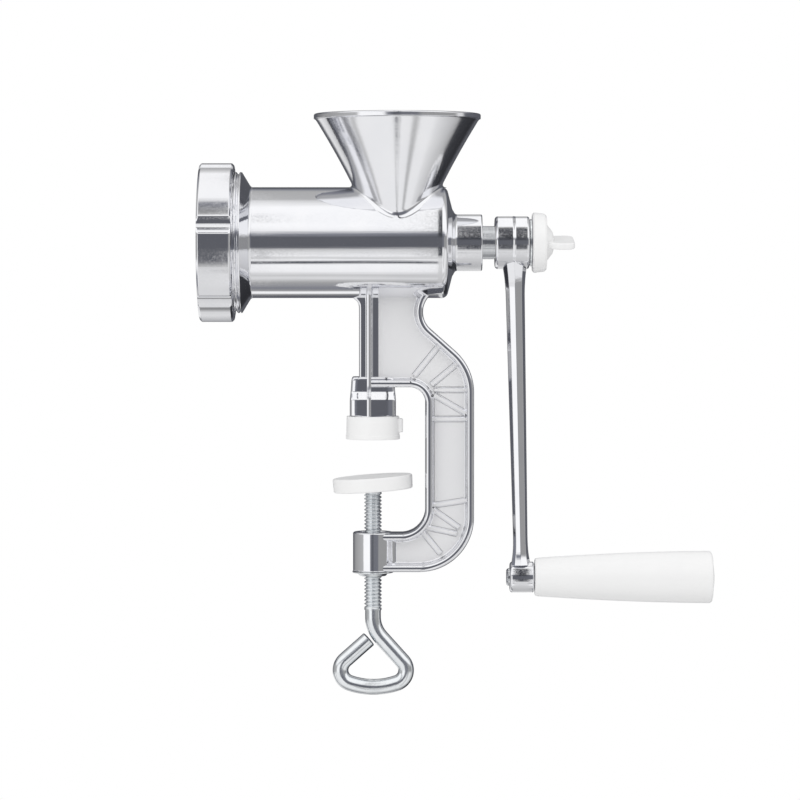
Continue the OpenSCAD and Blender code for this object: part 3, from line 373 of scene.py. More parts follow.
# Insets and depths from the middle of the frame's edge over the crown into the hollow
HALF, WEB, RIM, POCKET_END, FRAME_TOP, PROUD = 9.5, 3.0, 4.0, 5.0, 81.6, 0.06
LEG_MIDDLE, LEG_INNER = -2.0, -3.2
edge = rounded([(0, 0, 0), (0, HALF, 2.1), (RIM - 0.3, HALF, 1.5), (RIM + 0.5, WEB, 1.4), (RIM + 2.6, WEB, 0)], 8)
loops = []
for side in (-1, 1):
    for inset, depth in (edge if side > 0 else edge[::-1]):
        left, end = (LEG_MIDDLE, 0.0) if inset < RIM - 1.9 else (LEG_INNER, POCKET_END)
        loops.append([(x, -side * depth, z) for x, z in frame_outline(inset, left, end, FRAME_TOP)])
del loops[len(edge)]
points, faces = rings(loops, ends=False)
piece("body_rims", "frame_body", "cast_aluminium", polished, points, faces, crease=45)
web = frame_outline(RIM + 1.1, LEG_INNER, POCKET_END, FRAME_TOP)
points, faces = rings([[(x, y, z) for x, z in web] for y in (-WEB - PROUD, WEB + PROUD)])
piece("body_web", "frame_body", "cast_aluminium", matt, points, faces)

# The zigzag ribs: each is a low rounded bar from rim to rim, on both faces of the web. A
# rib's ends are shares of the column's width, level with the throat's top or its floor. The
# flanks are bright where the polishing wheel catches them, and the crests are matt.
RIB_BASE, RIB_CREST, RIB_H, RIB_SKIRT = 2.9, 1.5, 0.95, 0.3
PANEL_W = COLUMN_W - 2 * RIM
rib_rows = [(THROAT_TOP, -0.53, 0.23, 0.22, 0.88), (THROAT_TOP, -0.03, 0.045, 0.77, 0.51),
            (THROAT_TOP, 0.05, -0.06, 0.99, -0.06), (THROAT_TOP, 0.05, -0.165, 0.98, -0.545),
            (THROAT_TOP, -0.04, -0.66, 0.99, -0.66), (THROAT_LOW, -0.02, 0.566, 0.99, 0.674),
            (THROAT_LOW, 0.01, 0.49, 0.78, 0.11), (THROAT_LOW, -0.24, 0.126, 0.71, -0.014),
            (THROAT_LOW, -0.29, 0.027, 0.23, -0.424)]
crests, flanks = ([], []), ([], [])
for level, u0, w0, u1, w1 in rib_rows:
    x0, z0 = REACH + RIM + u0 * PANEL_W, level + w0 * COLUMN_W
    x1, z1 = REACH + RIM + u1 * PANEL_W, level + w1 * COLUMN_W
    run = math.hypot(x1 - x0, z1 - z0)
    nx, nz = -(z1 - z0) / run, (x1 - x0) / run
    for side in (-1, 1):
        section = rounded([(-RIB_BASE / 2 - RIB_SKIRT, 0, 0), (-RIB_BASE / 2, 0, 0.35), (-RIB_CREST / 2, RIB_H, 0.3),
                           (RIB_CREST / 2, RIB_H, 0.3), (RIB_BASE / 2, 0, 0.35), (RIB_BASE / 2 + RIB_SKIRT, 0, 0)], 4)
        low, high = len(section) // 2 - 3, len(section) // 2 + 3
        for part, made in ((section[:low + 1], flanks), (section[low:high], crests), (section[high - 1:], flanks)):
            loops = [[(x + nx * w, side * (WEB + PROUD + h), z + nz * w) for w, h in part]
                     for x, z in ((x0, z0), (x1, z1))]
            more, quads = rings(loops, around=False)
            made[1].extend(tuple(len(made[0]) + i for i in face) for face in quads)
            made[0].extend(more)
piece("body_rib_crests", "frame_body", "cast_aluminium", matt, *crests, crease=60)
piece("body_rib_flanks", "frame_body", "cast_aluminium", polished, *flanks, crease=60)

# Body casting, the leg over the jaw: a thin front edge and a crossed rib with hollow
# flanks, polished, running out into the barrel in fillets.
LEG_FRONT, LEG_HALF, LEG_FLANK, LEG_REAR, RIB_FRONT = -7.6, 11.0, 3.35, 3.3, -3.3
FLARE_R, FLARE_FROM, WIDER_BELOW = 5.0, 72.6, 30
corners = [(LEG_FRONT, -LEG_FLANK, 1.2), (RIB_FRONT - 0.1, -LEG_FLANK, 0.7), (RIB_FRONT + 0.1, 0.4 - LEG_HALF, 0.35),
           (-2.2, -LEG_HALF, 0.4), (-0.9, 0.6 - LEG_HALF, 0.4), (-0.6, -LEG_FLANK, 0.9), (LEG_REAR, -LEG_FLANK, 0.5)]
plan = rounded(corners + [(x, -y, r) for x, y, r in reversed(corners)], 6, closed=True)
loops = []
for z in [12.65, 14, 17, 20, 22, 24, 26, 28, 31, 35, 45, 60, 68, 70, 72, 74, 75.5, 77, 78.5, 80, 81.5]:
    lift = min(FLARE_R - 0.1, max(0.0, z - FLARE_FROM))
    flare = FLARE_R - math.sqrt(FLARE_R ** 2 - lift ** 2)
    deeper = 1 + 0.15 * max(0.0, min(1.0, (WIDER_BELOW - z) / 8))
    loops.append([(x - flare * max(0.0, (RIB_FRONT - x) / (RIB_FRONT - LEG_FRONT)) ** 1.5,
                   y * (deeper if abs(y) > 6 else 1), z) for x, y in plan])
points, faces = rings(loops)
piece("body_leg", "frame_body", "cast_aluminium", polished, points, faces, crease=40)

# Body casting, the jaw's foot: a round peg in the upper pad, and above it a block with full
# corners, drawn in towards the leg by a soft shoulder. Polished with the leg.
FOOT_R, FOOT_TOP, FOOT_LOW, PEG_TOP = 12.7, 34.4, 2.5, 13.0
BLOCK_R, BLOCK_HALF, NECK_HALF, SHOULDER_LOW, SHOULDER_TOP, SHOULDER_ROWS = FOOT_R - 0.05, 9.2, 7.0, 21.4, 26.9, 18
ROUND, SQUARE = 2.0, 9.0
levels = [(FOOT_LOW, FOOT_R, FOOT_R, ROUND), (PEG_TOP, FOOT_R, FOOT_R, ROUND)]
levels += [(z, BLOCK_R, BLOCK_HALF, SQUARE) for z in (PEG_TOP + 0.3, 15, 17, 19, 20.5)]
for k in range(SHOULDER_ROWS + 1):
    t = k / SHOULDER_ROWS
    levels.append((SHOULDER_LOW + (SHOULDER_TOP - SHOULDER_LOW) * t, BLOCK_R - 0.5 * t,
                   BLOCK_HALF + (NECK_HALF - BLOCK_HALF) * (1 - math.cos(math.pi * t)) / 2, SQUARE))
levels += [(z, wide, depth, SQUARE) for z, wide, depth in
           ((29, 12.0, 6.95), (32, 11.8, 6.9), (33.4, 11.6, 6.8), (34.1, 11.3, 6.5), (FOOT_TOP, 10.8, 6.0))]
loops = []
for z, wide, depth, power in levels:
    loop = []
    for j in range(192):
        t = 2 * math.pi * (j + 0.5) / 192
        c, s = math.cos(t), math.sin(t)
        out = (abs(c) ** power + abs(s) ** power) ** (-1 / power)
        loop.append((wide * out * c, depth * out * s, z))
    loops.append(loop)
points, faces = rings(loops)
piece("body_foot", "frame_body", "cast_aluminium", polished, points, faces, crease=38)

# Body casting, the clamp boss on the lower arm. A short upright cylinder, polished, drilled
# for the threaded insert, with a hollow fillet from the web up both its sides.
BOSS_R, BOSS_TOP, INSERT_R = 11.0, -51.1, 7.55


def upright(profile, sides, closed=False):
    """A profile (r, z) turned about the clamp's axis."""
    turns = [2 * math.pi * j / sides for j in range(sides)]
    return rings([[(r * math.cos(a), r * math.sin(a), z) for a in turns] for r, z in profile], closed=closed)


profile = rounded([(INSERT_R, BOSS_TOP, 0.3), (BOSS_R, BOSS_TOP, 1.0), (BOSS_R, ARM_LOW, 0.8),
                   (INSERT_R, ARM_LOW, 0.3)], 6, closed=True)
points, faces = upright(profile, 128, closed=True)
piece("body_boss", "frame_body", "cast_aluminium", polished, points, faces)

BOSS_FILLET, SHORT_OF_EDGE = 4.0, 3.4
points, faces = [], []
cy = WEB + BOSS_FILLET
cx = math.sqrt((BOSS_R + BOSS_FILLET) ** 2 - cy ** 2)
turned_by = math.atan2(cy, cx)
for side in (-1, 1):
    strip = [(cx + BOSS_FILLET * math.cos(a), side * (cy + BOSS_FILLET * math.sin(a)))
             for a in [-math.pi / 2 - (math.pi / 2 - turned_by) * k / 12 for k in range(13)]]
    levels = THROAT_LOW - SHORT_OF_EDGE, ARM_LOW + SHORT_OF_EDGE
    more, quads = rings([[(x, y, z) for x, y in strip] for z in levels], around=False)
    faces += [tuple(len(points) + i for i in face) for face in quads]
    points += more
piece("body_boss_fillet", "frame_body", "cast_aluminium", polished, points, faces, crease=60)

# Key pin, threaded insert and shaft bush. The pin is turned steel, the insert is zinc plated
# steel pressed into the boss, and the bush is nylon pressed into the bearing boss.

# Zinc plated steel: bright and a little blue, softly mottled by the crystals of the plating,
# which are drawn some ten times their size.
CRYSTAL_SIZE = 2.86
zinc, place = material("zinc_plated_steel")
mottle = noise(place, CRYSTAL_SIZE, 4.0)
finish(zinc, (mottle, "#f2f4f6", "#e3e7ea"), (mottle, 0.1, 0.24), [(mottle, 0.12, 0.2)], metallic=1.0)

# Turned steel: grey and bright, with the fine rings that the lathe's tool leaves along the
# shaft. They are some 0.1 mm apart in truth and drawn coarser.
TOOL_STEP, RING_RUN = 0.385, 11.1
steel, place = material("turned_steel")
marks = noise(place, RING_RUN, 3.0, along=TOOL_STEP)
finish(steel, (marks, "#dcdee0", "#c0c2c6"), (marks, 0.1, 0.22), [(marks, 0.15, 0.1)], metallic=1.0)

# Moulded nylon: cream and waxy, with faint clouds where the melt met in the mould
MELT_SIZE = 7.1
nylon, place = material("moulded_nylon")
finish(nylon, (noise(place, MELT_SIZE), "#e8e4d8", "#dcd7c9"), 0.45)


def dress(material, *names):
    """Gives CAD nodes whose shape is right a material."""
    for name in names:
        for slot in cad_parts[name].material_slots:
            slot.material = material


COLLAR_TOP, SLEEVE_R, SCREW_HOLE_R = ARM_LOW - 0.02, INSERT_R - 0.02, 4.95
FLANGE_R, CONE_TOP_R, CONE_LOW_R = 11.3, 8.3, 7.2
profile = rounded([(SCREW_HOLE_R, BOSS_TOP - 0.55, 0.4), (SLEEVE_R, BOSS_TOP - 0.55, 0.3), (SLEEVE_R, COLLAR_TOP, 0),
                   (FLANGE_R, COLLAR_TOP, 0), (FLANGE_R, COLLAR_TOP - 0.8, 0.35), (CONE_TOP_R, COLLAR_TOP - 1.2, 0.5),
                   (CONE_LOW_R, COLLAR_TOP - 2.6, 0.5), (SCREW_HOLE_R, COLLAR_TOP - 2.6, 0)], 5, closed=True)
points, faces = upright(profile, 96, closed=True)
piece("insert_collar", "frame_body", "zinc_plate", zinc, points, faces, "thread_insert")
dress(steel, "plate_key")
dress(nylon, "shaft_bush")

# Ring nut. A polished casting that screws over the collar and holds the plate in with its
# lip. Its edges are bevelled, and six shallow hollows give the fingers a hold.
RING_FRONT, RING_REAR, LIP_BACK, MOUTH_R, THREAD_HOLE_R, BEVEL_R = -94.8, -76.2, -90.8, 33.0, 38.95, 42.5
RING_R, HOLLOW_R, HOLLOW_DEEP, HOLLOW_SOFT, HOLLOWS_REACH = 43.5, 9.0, 1.4, 0.35, 41
HOLLOWS, HOLLOW_START, BETWEEN = 6, math.radians(77.5), math.radians(60)
HOLLOW_OUT = RING_R - HOLLOW_DEEP + HOLLOW_R
half = math.acos((RING_R ** 2 + HOLLOW_OUT ** 2 - HOLLOW_R ** 2) / (2 * RING_R * HOLLOW_OUT)) * 1.25
turns = []
for i in range(HOLLOWS):
    middle = HOLLOW_START + BETWEEN * i
    turns += [middle + half * (k / 16 - 1) for k in range(33)]
    turns += [middle + half + (BETWEEN - 2 * half) * k / 24 for k in range(1, 24)]


def ring_edge(r, turn):
    """The ring's radius at a turn: the hollows' floor where they go deeper, softly blended."""
    off = (turn - HOLLOW_START + BETWEEN / 2) % BETWEEN - BETWEEN / 2
    inside = HOLLOW_R ** 2 - (HOLLOW_OUT * math.sin(off)) ** 2
    if r < HOLLOWS_REACH or inside <= 0:
        return r
    floor = HOLLOW_OUT * math.cos(off) - math.sqrt(inside)
    blend = max(0.0, HOLLOW_SOFT - abs(r - floor)) / HOLLOW_SOFT
    return min(r, floor) - blend * blend * HOLLOW_SOFT / 4


profile = rounded([(RING_FRONT, MOUTH_R, 0.5), (RING_FRONT, BEVEL_R, 0.4), (RING_FRONT + 1, RING_R, 0.6),
                   (RING_REAR - 1, RING_R, 0.6), (RING_REAR, BEVEL_R, 0.4), (RING_REAR, THREAD_HOLE_R, 0.4),
                   (LIP_BACK, THREAD_HOLE_R, 0), (LIP_BACK, MOUTH_R, 0.3)], 6, closed=True)
loops = []
for x, r in profile:
    edge = [(ring_edge(r, turn), turn) for turn in turns]
    loops.append([(x, -out * math.sin(turn), AXIS + out * math.cos(turn)) for out, turn in edge])
points, faces = rings(loops, closed=True)
piece("ring_casting", "ring", "cast_aluminium", polished, points, faces, "ring_nut", crease=24)

# Plate, knife and stud. The plate and the knife are hardened tool steel, ground flat so that
# they cut against each other. The stud drives the knife by its square, and its nose turns in
# the plate's middle hole.

# Ground tool steel: darker than the casting, with fine rings round the axis from the grinding
# wheel and faint stains of oil
GRINDING_STEP, STAIN_SIZE = 0.24, 8.3
ground, place = material("ground_tool_steel")
tree = ground.node_tree
across = node(tree, "ShaderNodeVectorMath", {0: (place, "Object"), 1: (0.0, 1.0, 1.0)}, operation="MULTIPLY")
centred = node(tree, "ShaderNodeVectorMath", {0: (across, "Vector"), 1: (0.0, 0.0, -AXIS / 1000)}, operation="ADD")
away = node(tree, "ShaderNodeVectorMath", {0: (centred, "Vector")}, operation="LENGTH")
rows_out = node(tree, "ShaderNodeCombineXYZ", {"X": (away, "Value")})
marks = noise(rows_out, GRINDING_STEP)
finish(ground, (noise(place, STAIN_SIZE, 3.0), "#b3b6ba", "#96999e"), (marks, 0.18, 0.4), [(marks, 0.2, 0.1)],
       metallic=1.0)
dress(ground, "grinding_plate", "cutting_knife", "knife_stud")

# The worm. An aluminium casting: a core that thickens towards the knife, with one flight
# whose pitch shortens the same way. The flight's flanks run into the core in a round.
WORM_X, WORM_L, FLIGHT_L, WORM_R = 33.3, 110.2, 103.2, 25.5
PITCH_REAR, PITCH_FRONT, CORE_REAR, CORE_FRONT = 31.0, 19.0, 12.5, 15.5
FLIGHT_ROWS, NOSE_ROWS, WORM_SIDES = 325, 5, 96
FLIGHT_FOOT, FLIGHT_SLOPE = math.radians(31), math.radians(15)
pitch_change = (PITCH_FRONT - PITCH_REAR) / FLIGHT_L
loops = []
for i in range(FLIGHT_ROWS + NOSE_ROWS + 1):
    s = FLIGHT_L * min(i, FLIGHT_ROWS) / FLIGHT_ROWS
    turn = 2 * math.pi / pitch_change * math.log((PITCH_REAR + pitch_change * s) / PITCH_REAR)
    rise = max(0.0, min(1.0, s / FLIGHT_L / 0.08, (1 - s / FLIGHT_L) / 0.05))
    core = CORE_REAR + (CORE_FRONT - CORE_REAR) * s / FLIGHT_L
    level = s + (WORM_L - FLIGHT_L) * max(0, i - FLIGHT_ROWS) / NOSE_ROWS
    loop = []
    for j in range(WORM_SIDES):
        a = 2 * math.pi * j / WORM_SIDES
        off = abs((a + math.pi) % (2 * math.pi) - math.pi)
        flank = max(0.0, min(1.0, (FLIGHT_FOOT - off) / FLIGHT_SLOPE))
        r = core + (WORM_R - core) * rise * flank * flank * (3 - 2 * flank)
        loop.append((WORM_X - level, -r * math.sin(a + turn), AXIS - r * math.cos(a + turn)))
    loops.append(loop)
points, faces = rings(loops)
piece("worm", "drive", "cast_aluminium", matt, points, faces, "auger", crease=50)

# Shaft, thrust washer, and the stud and washer of the knob. The shaft is turned steel with a
# square end for the crank, the thrust washer is nylon, and the stud and the thin washer are
# zinc plated. They keep their CAD shapes.
dress(steel, "auger_shaft")
dress(nylon, "thrust_washer")
dress(zinc, "knob_stud", "knob_washer")

# Crank. One polished aluminium casting: a hub with a square hole that sits on the shaft, a
# tapering arm with soft flat faces, and an eye. The mould's parting line stands round the hub
# as a fine ridge.
HUB_X, HUB_END, HUB_R, HUB_FACE_R, HUB_HOLE, HUB_SIDES = 66.9, 85.9, 14.4, 11.0, 6.4, 160
PARTING, RIDGE_HALF, RIDGE_H, CRANK_L = 77.4, 0.45, 0.22, 184.2
outside = rounded([(HUB_X, HUB_FACE_R, 0), (HUB_X, HUB_R, 1.7), (PARTING - 2 * RIDGE_HALF, HUB_R, 0),
                   (PARTING - RIDGE_HALF, HUB_R, 0), (PARTING, HUB_R + RIDGE_H, 0.2), (PARTING + RIDGE_HALF, HUB_R, 0),
                   (PARTING + 2 * RIDGE_HALF, HUB_R, 0), (HUB_END, HUB_R, 1.4), (HUB_END, HUB_FACE_R, 0)], 8)
turns = [(math.sin(a), math.cos(a)) for a in [2 * math.pi * j / HUB_SIDES for j in range(HUB_SIDES)]]
loops = [[(x, -r * s, AXIS + r * c) for s, c in turns] for x, r in outside]
hole = [(s * HUB_HOLE / max(abs(s), abs(c)), c * HUB_HOLE / max(abs(s), abs(c))) for s, c in turns]
loops += [[(x, -y, AXIS + z) for y, z in hole] for x in (HUB_END, HUB_X)]
points, faces = rings(loops, closed=True)
piece("crank_hub", "drive", "cast_aluminium", polished, points, faces, "crank_arm", crease=34)

# Each face is its share of the arm's width as seen from the front, and its angle to the front
ARM_FACES, ARM_ROUNDS = [(0.18, -55), (0.30, -15), (0.35, 30), (0.17, 66)], (1.0, 1.0, 0.4, 0.8, 1.2)
ARM_FROM, ARM_TO, ARM_ROWS = 0.038, 0.962, 80
loops = []
for k in range(ARM_ROWS + 1):
    share = ARM_FROM + (ARM_TO - ARM_FROM) * k / ARM_ROWS
    grow = 1 + 0.42 * max(0.0, (0.16 - share) / 0.12) ** 2 + 0.38 * max(0.0, (share - 0.86) / 0.1) ** 3
    wide, deep, middle = (10.9 - 3.4 * share) * grow, (15.5 - 4.5 * share) * grow, 77.6 + 4.1 * share
    corners, x, y = [(0.0, 0.0)], 0.0, 0.0
    for part, angle in ARM_FACES:
        x, y = x + part * wide, y + part * wide * math.tan(math.radians(angle))
        corners.append((x, y))
    side = deep - (y - 2 * min(low for _, low in corners))
    half = x / 2, (y + side) / 2
    front = [(x - half[0], y - half[1], r * grow) for (x, y), r in zip(corners, ARM_ROUNDS)]
    section = rounded(front + [(-x, -y, r) for x, y, r in front], 5, closed=True)
    loops.append([(middle + x, y, AXIS - CRANK_L * share) for x, y in section])
points, faces = rings(loops)
piece("crank_bar", "drive", "cast_aluminium", polished, points, faces, crease=40)

# The eye, drilled for the grip's pin
EYE_X, EYE_MIDDLE, EYE_END, EYE_R, PIN_R = 75.35, 82.0, 88.85, 8.5, 4.05
GRIP_Z = AXIS - CRANK_L
profile = rounded([(EYE_X, PIN_R, 0.2), (EYE_X, EYE_R - 0.05, 1.5), (EYE_MIDDLE, EYE_R, 0),
                   (EYE_END, EYE_R - 0.05, 1.2), (EYE_END, PIN_R, 0.2)], 8, closed=True)
points, faces = turned(profile, GRIP_Z, 128, closed=True)
piece("crank_eye", "drive", "cast_aluminium", polished, points, faces, crease=34)

# Grip pin and grip washer. A turned steel pin, riveted over on the inner side of the eye, and
# a steel washer that keeps the grip on it. They keep their CAD shapes.
dress(steel, "grip_pin", "grip_washer")

# Grip. A hollow white moulding that swells towards its far end and turns on the pin. A domed
# cap of the same plastic is pressed in and closes it, with a fine seam round it.

# White moulded plastic: a clean cool white with a half gloss. The mould's spark eroded skin
# leaves an orange peel that softens the lights, drawn a little coarse.
SHADE_SIZE, PEEL_SIZE = 18.2, 0.67
plastic, place = material("white_moulded_plastic")
peel = noise(place, PEEL_SIZE)
finish(plastic, (noise(place, SHADE_SIZE), "#f5f5f5", "#f1f1f1"), (peel, 0.3, 0.42), [(peel, 0.06, 0.1)])

GRIP_X, GRIP_BODY, GRIP_NEAR_R, GRIP_SWELL, GRIP_BORE, RECESS_X = 89.15, 97.7, 10.5, 3.85, 4.07, 177.85
GRIP_END, RECESS_R = GRIP_X + GRIP_BODY, 9.0
CAP_R, CAP_T, DOME, SEAM, GRIP_ROWS = 10.65, 2.6, 1.3, 0.1, 40


def grip_r(t):
    """The grip's radius at a share of its length."""
    return GRIP_NEAR_R + GRIP_SWELL * (1 - (1 - t) ** 1.8)


profile = rounded([(GRIP_X, GRIP_BORE, 0.2), (GRIP_X, GRIP_NEAR_R - 0.2, 1.0), (GRIP_X + 2.4, grip_r(0.025), 0)], 8)
profile += [(GRIP_X + GRIP_BODY * k / GRIP_ROWS, grip_r(k / GRIP_ROWS)) for k in range(2, GRIP_ROWS - 1)]
profile += rounded([(GRIP_END - 4, grip_r(0.96), 0), (GRIP_END, grip_r(1), 2.0), (GRIP_END, CAP_R + SEAM, 0.25),
                    (GRIP_END - CAP_T, CAP_R + SEAM, 0)], 10)
profile += [(GRIP_END - CAP_T, RECESS_R), (RECESS_X, RECESS_R), (RECESS_X, GRIP_BORE)]
points, faces = turned(profile, GRIP_Z, 160, closed=True)
piece("grip_body", "grip", "white_plastic", plastic, points, faces, "handle_grip")

dome_r = (CAP_R ** 2 + DOME ** 2) / (2 * DOME)
profile = [(GRIP_END - CAP_T + 0.05, 0.01), (GRIP_END - CAP_T + 0.05, CAP_R), (GRIP_END - 0.25, CAP_R)]
profile += [(GRIP_END + DOME - dome_r + math.sqrt(dome_r ** 2 - r * r), r)
            for r in [(CAP_R - 0.25) * (1 - k / 12) for k in range(12)]] + [(GRIP_END + DOME, 0.01)]
points, faces = turned(profile, GRIP_Z, 128)
piece("grip_end", "grip", "white_plastic", plastic, points, faces, "grip_cap")

# Wing knob. A white moulding on a steel stud that screws into the shaft's end: a flange with
# a soft edge, a dome and one flat wing, which stands a little turned.
KNOB_X, KNOB_T, KNOB_R, KNOB_DOME_H, STUD_R, STUD_HOLE = 87.5, 7.8, 16.6, 3.8, 3.95, 7.0
WING_HALF, WING_END, WING_T, WING_TURN = 15.0, 23.0, 3.6, math.radians(9)
profile = rounded([(KNOB_X, STUD_R, 0.2), (KNOB_X, KNOB_R - 0.9, 0.6), (KNOB_X + 0.9, KNOB_R, 1.2),
                   (KNOB_X + KNOB_T - 1.2, KNOB_R - 0.7, 1.2), (KNOB_X + KNOB_T, KNOB_R - 1.8, 0.8),
                   (KNOB_X + KNOB_T, 10.2, 1.4), (KNOB_X + KNOB_T + KNOB_DOME_H - 0.6, 6.2, 1.6),
                   (KNOB_X + KNOB_T + KNOB_DOME_H, 4.4, 1.0), (KNOB_X + KNOB_T + KNOB_DOME_H, 0.01, 0),
                   (KNOB_X + STUD_HOLE, 0.01, 0), (KNOB_X + STUD_HOLE, STUD_R, 0)], 8, closed=True)
points, faces = turned(profile, AXIS, 160, closed=True)
piece("knob_flange", "knob", "white_plastic", plastic, points, faces, "wing_knob")


def inward(outline, depth):
    """The outline moved inward along its normals; it runs anticlockwise."""
    out = []
    for i, (x, y) in enumerate(outline):
        ax, ay = outline[i - 1]
        bx, by = outline[(i + 1) % len(outline)]
        length = math.hypot(bx - ax, by - ay)
        out.append((x - (by - ay) / length * depth, y + (bx - ax) / length * depth))
    return out


WING_ROOT, WING_FROM, SOFT, SOFT_ROWS = 11.4, 3.9, 0.9, 8
wing = rounded([(-WING_ROOT, WING_FROM, 0), (WING_ROOT, WING_FROM, 0), (WING_ROOT, 9.6, 4.0), (WING_HALF, 13.2, 5.0),
                (WING_HALF, WING_END, 7.4), (-WING_HALF, WING_END, 7.4), (-WING_HALF, 13.2, 5.0),
                (-WING_ROOT, 9.6, 4.0)], 10, closed=True)
loops = []
for k in range(-SOFT_ROWS, SOFT_ROWS + 1):
    a = math.pi / 2 * k / SOFT_ROWS
    depth = math.sin(a) * SOFT + (math.copysign(WING_T / 2 - SOFT, k) if k else 0)
    loops.append([(KNOB_X + v, w * math.cos(WING_TURN) + depth * math.sin(WING_TURN),
                   AXIS + w * math.sin(WING_TURN) - depth * math.cos(WING_TURN))
                  for w, v in inward(wing, SOFT * (1 - math.cos(a)))])
points, faces = rings(loops)
piece("knob_wing", "knob", "white_plastic", plastic, points, faces, crease=40)

# Clamp screw. One zinc plated rod: a rolled thread, wider than the rod, and a finger loop
# bent from its lower end. A riveted stem on top holds the disc of the lower pad.
SCREW_TOP, SCREW_LOW, THREAD_R, ROD_R, PITCH, ROLLED = -29.0, -94.4, 4.8, 4.35, 2.0, 1.05
STEM_R, HEAD_Z, HEAD_R, HEAD_H, THREAD_ROWS, ROD_SIDES = 3.0, -24.25, 4.6, 1.2, 400, 48
rod_turns = [2 * math.pi * j / ROD_SIDES for j in range(ROD_SIDES)]
loops = []
for i in range(THREAD_ROWS + 1):
    z = SCREW_LOW + (SCREW_TOP - SCREW_LOW) * i / THREAD_ROWS
    fade = min(1.0, (z - SCREW_LOW - 0.9) / 0.8, (SCREW_TOP - z - 0.5) / 0.8)
    ends = min(1.0, (z - SCREW_LOW) / 0.4 + 0.9, (SCREW_TOP - z) / 0.7 + 0.84)
    loop = []
    for a in rod_turns:
        groove = 0.5 - 0.5 * math.cos(2 * math.pi * z / PITCH - a)
        r = THREAD_R * ends - ROLLED * max(0.0, fade) * groove ** 1.3
        loop.append((r * math.cos(a), r * math.sin(a), z))
    loops.append(loop)
loops += [[(r * math.cos(a), r * math.sin(a), z) for a in rod_turns]
          for r, z in ((STEM_R, SCREW_TOP), (STEM_R, HEAD_Z), (HEAD_R, HEAD_Z), (HEAD_R, HEAD_Z + HEAD_H * 0.6),
                       (HEAD_R - 0.8, HEAD_Z + HEAD_H))]
points, faces = rings(loops)
piece("screw_thread", "screw", "zinc_plate", zinc, points, faces, "clamp_screw", crease=50)

# The finger loop's steps: a straight run, then a bend in degrees at a radius
bends = [(3.8, 42.0, 16.88), (17.92, -113.0, 7.5), (0.0, -38.0, 40.02), (0.0, -119.5, 7.5), (17.31, 0.0, 1.0)]
RUN_STEP, BEND_STEP, END_CHAMFER, END_R = 1.5, 4, 0.3, ROD_R - 0.4
path = [(0.0, 0.0, 0.0)]
for run, turn, r in bends:
    x, d, heading = path[-1]
    for k in range(1, int(run / RUN_STEP) + 1):
        part = run * k / int(run / RUN_STEP)
        path.append((x + part * math.sin(heading), d + part * math.cos(heading), heading))
    x, d, heading = path[-1]
    parts = int(abs(turn) / BEND_STEP)
    for k in range(1, parts + 1):
        new = heading + math.radians(turn) * k / parts
        side = -1 if turn < 0 else 1
        path.append((x + side * r * (math.cos(heading) - math.cos(new)),
                     d + side * r * (math.sin(new) - math.sin(heading)), new))
x, d, heading = path[-1]
rod = [(x, d, heading, ROD_R) for x, d, heading in path]
rod.append((x + END_CHAMFER * math.sin(heading), d + END_CHAMFER * math.cos(heading), heading, END_R))
loops = [[(x + r * math.cos(a) * math.cos(heading), r * math.sin(a),
           SCREW_LOW + 0.05 - d + r * math.cos(a) * math.sin(heading)) for a in rod_turns] for x, d, heading, r in rod]
points, faces = rings(loops)
piece("screw_loop", "screw", "zinc_plate", zinc, points, faces, crease=50)

# Screw washer and pad disc. A pressed steel disc stiffens the lower pad, and a loose steel
# washer lies under it on the screw's end. They keep their CAD shapes.
dress(steel, "screw_washer", "pad_disc")

# Upper pad. A white moulded cup pressed over the foot, with a wider tread below and a tab
# to pull it off by.
CUP_R, TREAD_R, TREAD_H, CUP_H, CUP_IN = 14.6, 14.85, 2.45, 12.7, 12.75
profile = rounded([(CUP_IN, CUP_H, 0.3), (CUP_IN, TREAD_H, 0.3), (0.01, TREAD_H, 0), (0.01, 0, 0), (TREAD_R, 0, 0.5),
                   (TREAD_R, TREAD_H - 0.3, 0.3), (CUP_R, TREAD_H, 0.3), (CUP_R - 0.1, CUP_H, 0.5)], 6, closed=True)
points, faces = upright(profile, 128, closed=True)
piece("pad_cup", "frame_body", "white_plastic", plastic, points, faces, "upper_pad")

TAB_FROM, TAB_HALF, TAB_END, TAB_LOW, TAB_TOP = 12.8, 4.0, 16.5, 3.9, 11.3
tab = rounded([(TAB_FROM, -TAB_HALF, 0), (TAB_END, -TAB_HALF, 1.6), (TAB_END, TAB_HALF, 1.6),
               (TAB_FROM, TAB_HALF, 0)], 8, closed=True)
loops = [[(x, y, TAB_LOW + (TAB_TOP - TAB_LOW) * t) for x, y in inward(tab, by)]
         for t, by in ((0.0, 0.4), (0.02, 0.1), (0.06, 0.0), (0.92, 0.0), (0.97, 0.12), (1.0, 0.45))]
points, faces = rings(loops)
piece("pad_tab", "frame_body", "white_plastic", plastic, points, faces)

# Lower pad. A round white moulding, snapped over the steel disc. It sits loose on the
# screw's rivet and leans to one side.
PIVOT_Z, PIVOT_UP, PAD_LEAN, PAD_SIDES = -25.7, 1.0, math.radians(4), 160
PAD_R, PAD_LOW, PAD_TOP, HOLLOW, HOLLOW_TOP = 22.0, -1.5, 6.2, 6.4, 4.4
DISC_R, DISC_LOW, DISC_TOP, HOLD_R = 20.05, -0.05, 2.05, 18.5
profile = rounded([(HOLD_R, PAD_LOW, 0.3), (PAD_R - 0.25, PAD_LOW, 0.8), (PAD_R, PAD_TOP, 1.0), (0.01, PAD_TOP, 0),
                   (0.01, HOLLOW_TOP, 0), (HOLLOW, HOLLOW_TOP, 0), (HOLLOW, DISC_TOP, 0), (DISC_R, DISC_TOP, 0),
                   (DISC_R, DISC_LOW, 0), (HOLD_R, DISC_LOW, 0)], 8, closed=True)
loops = []
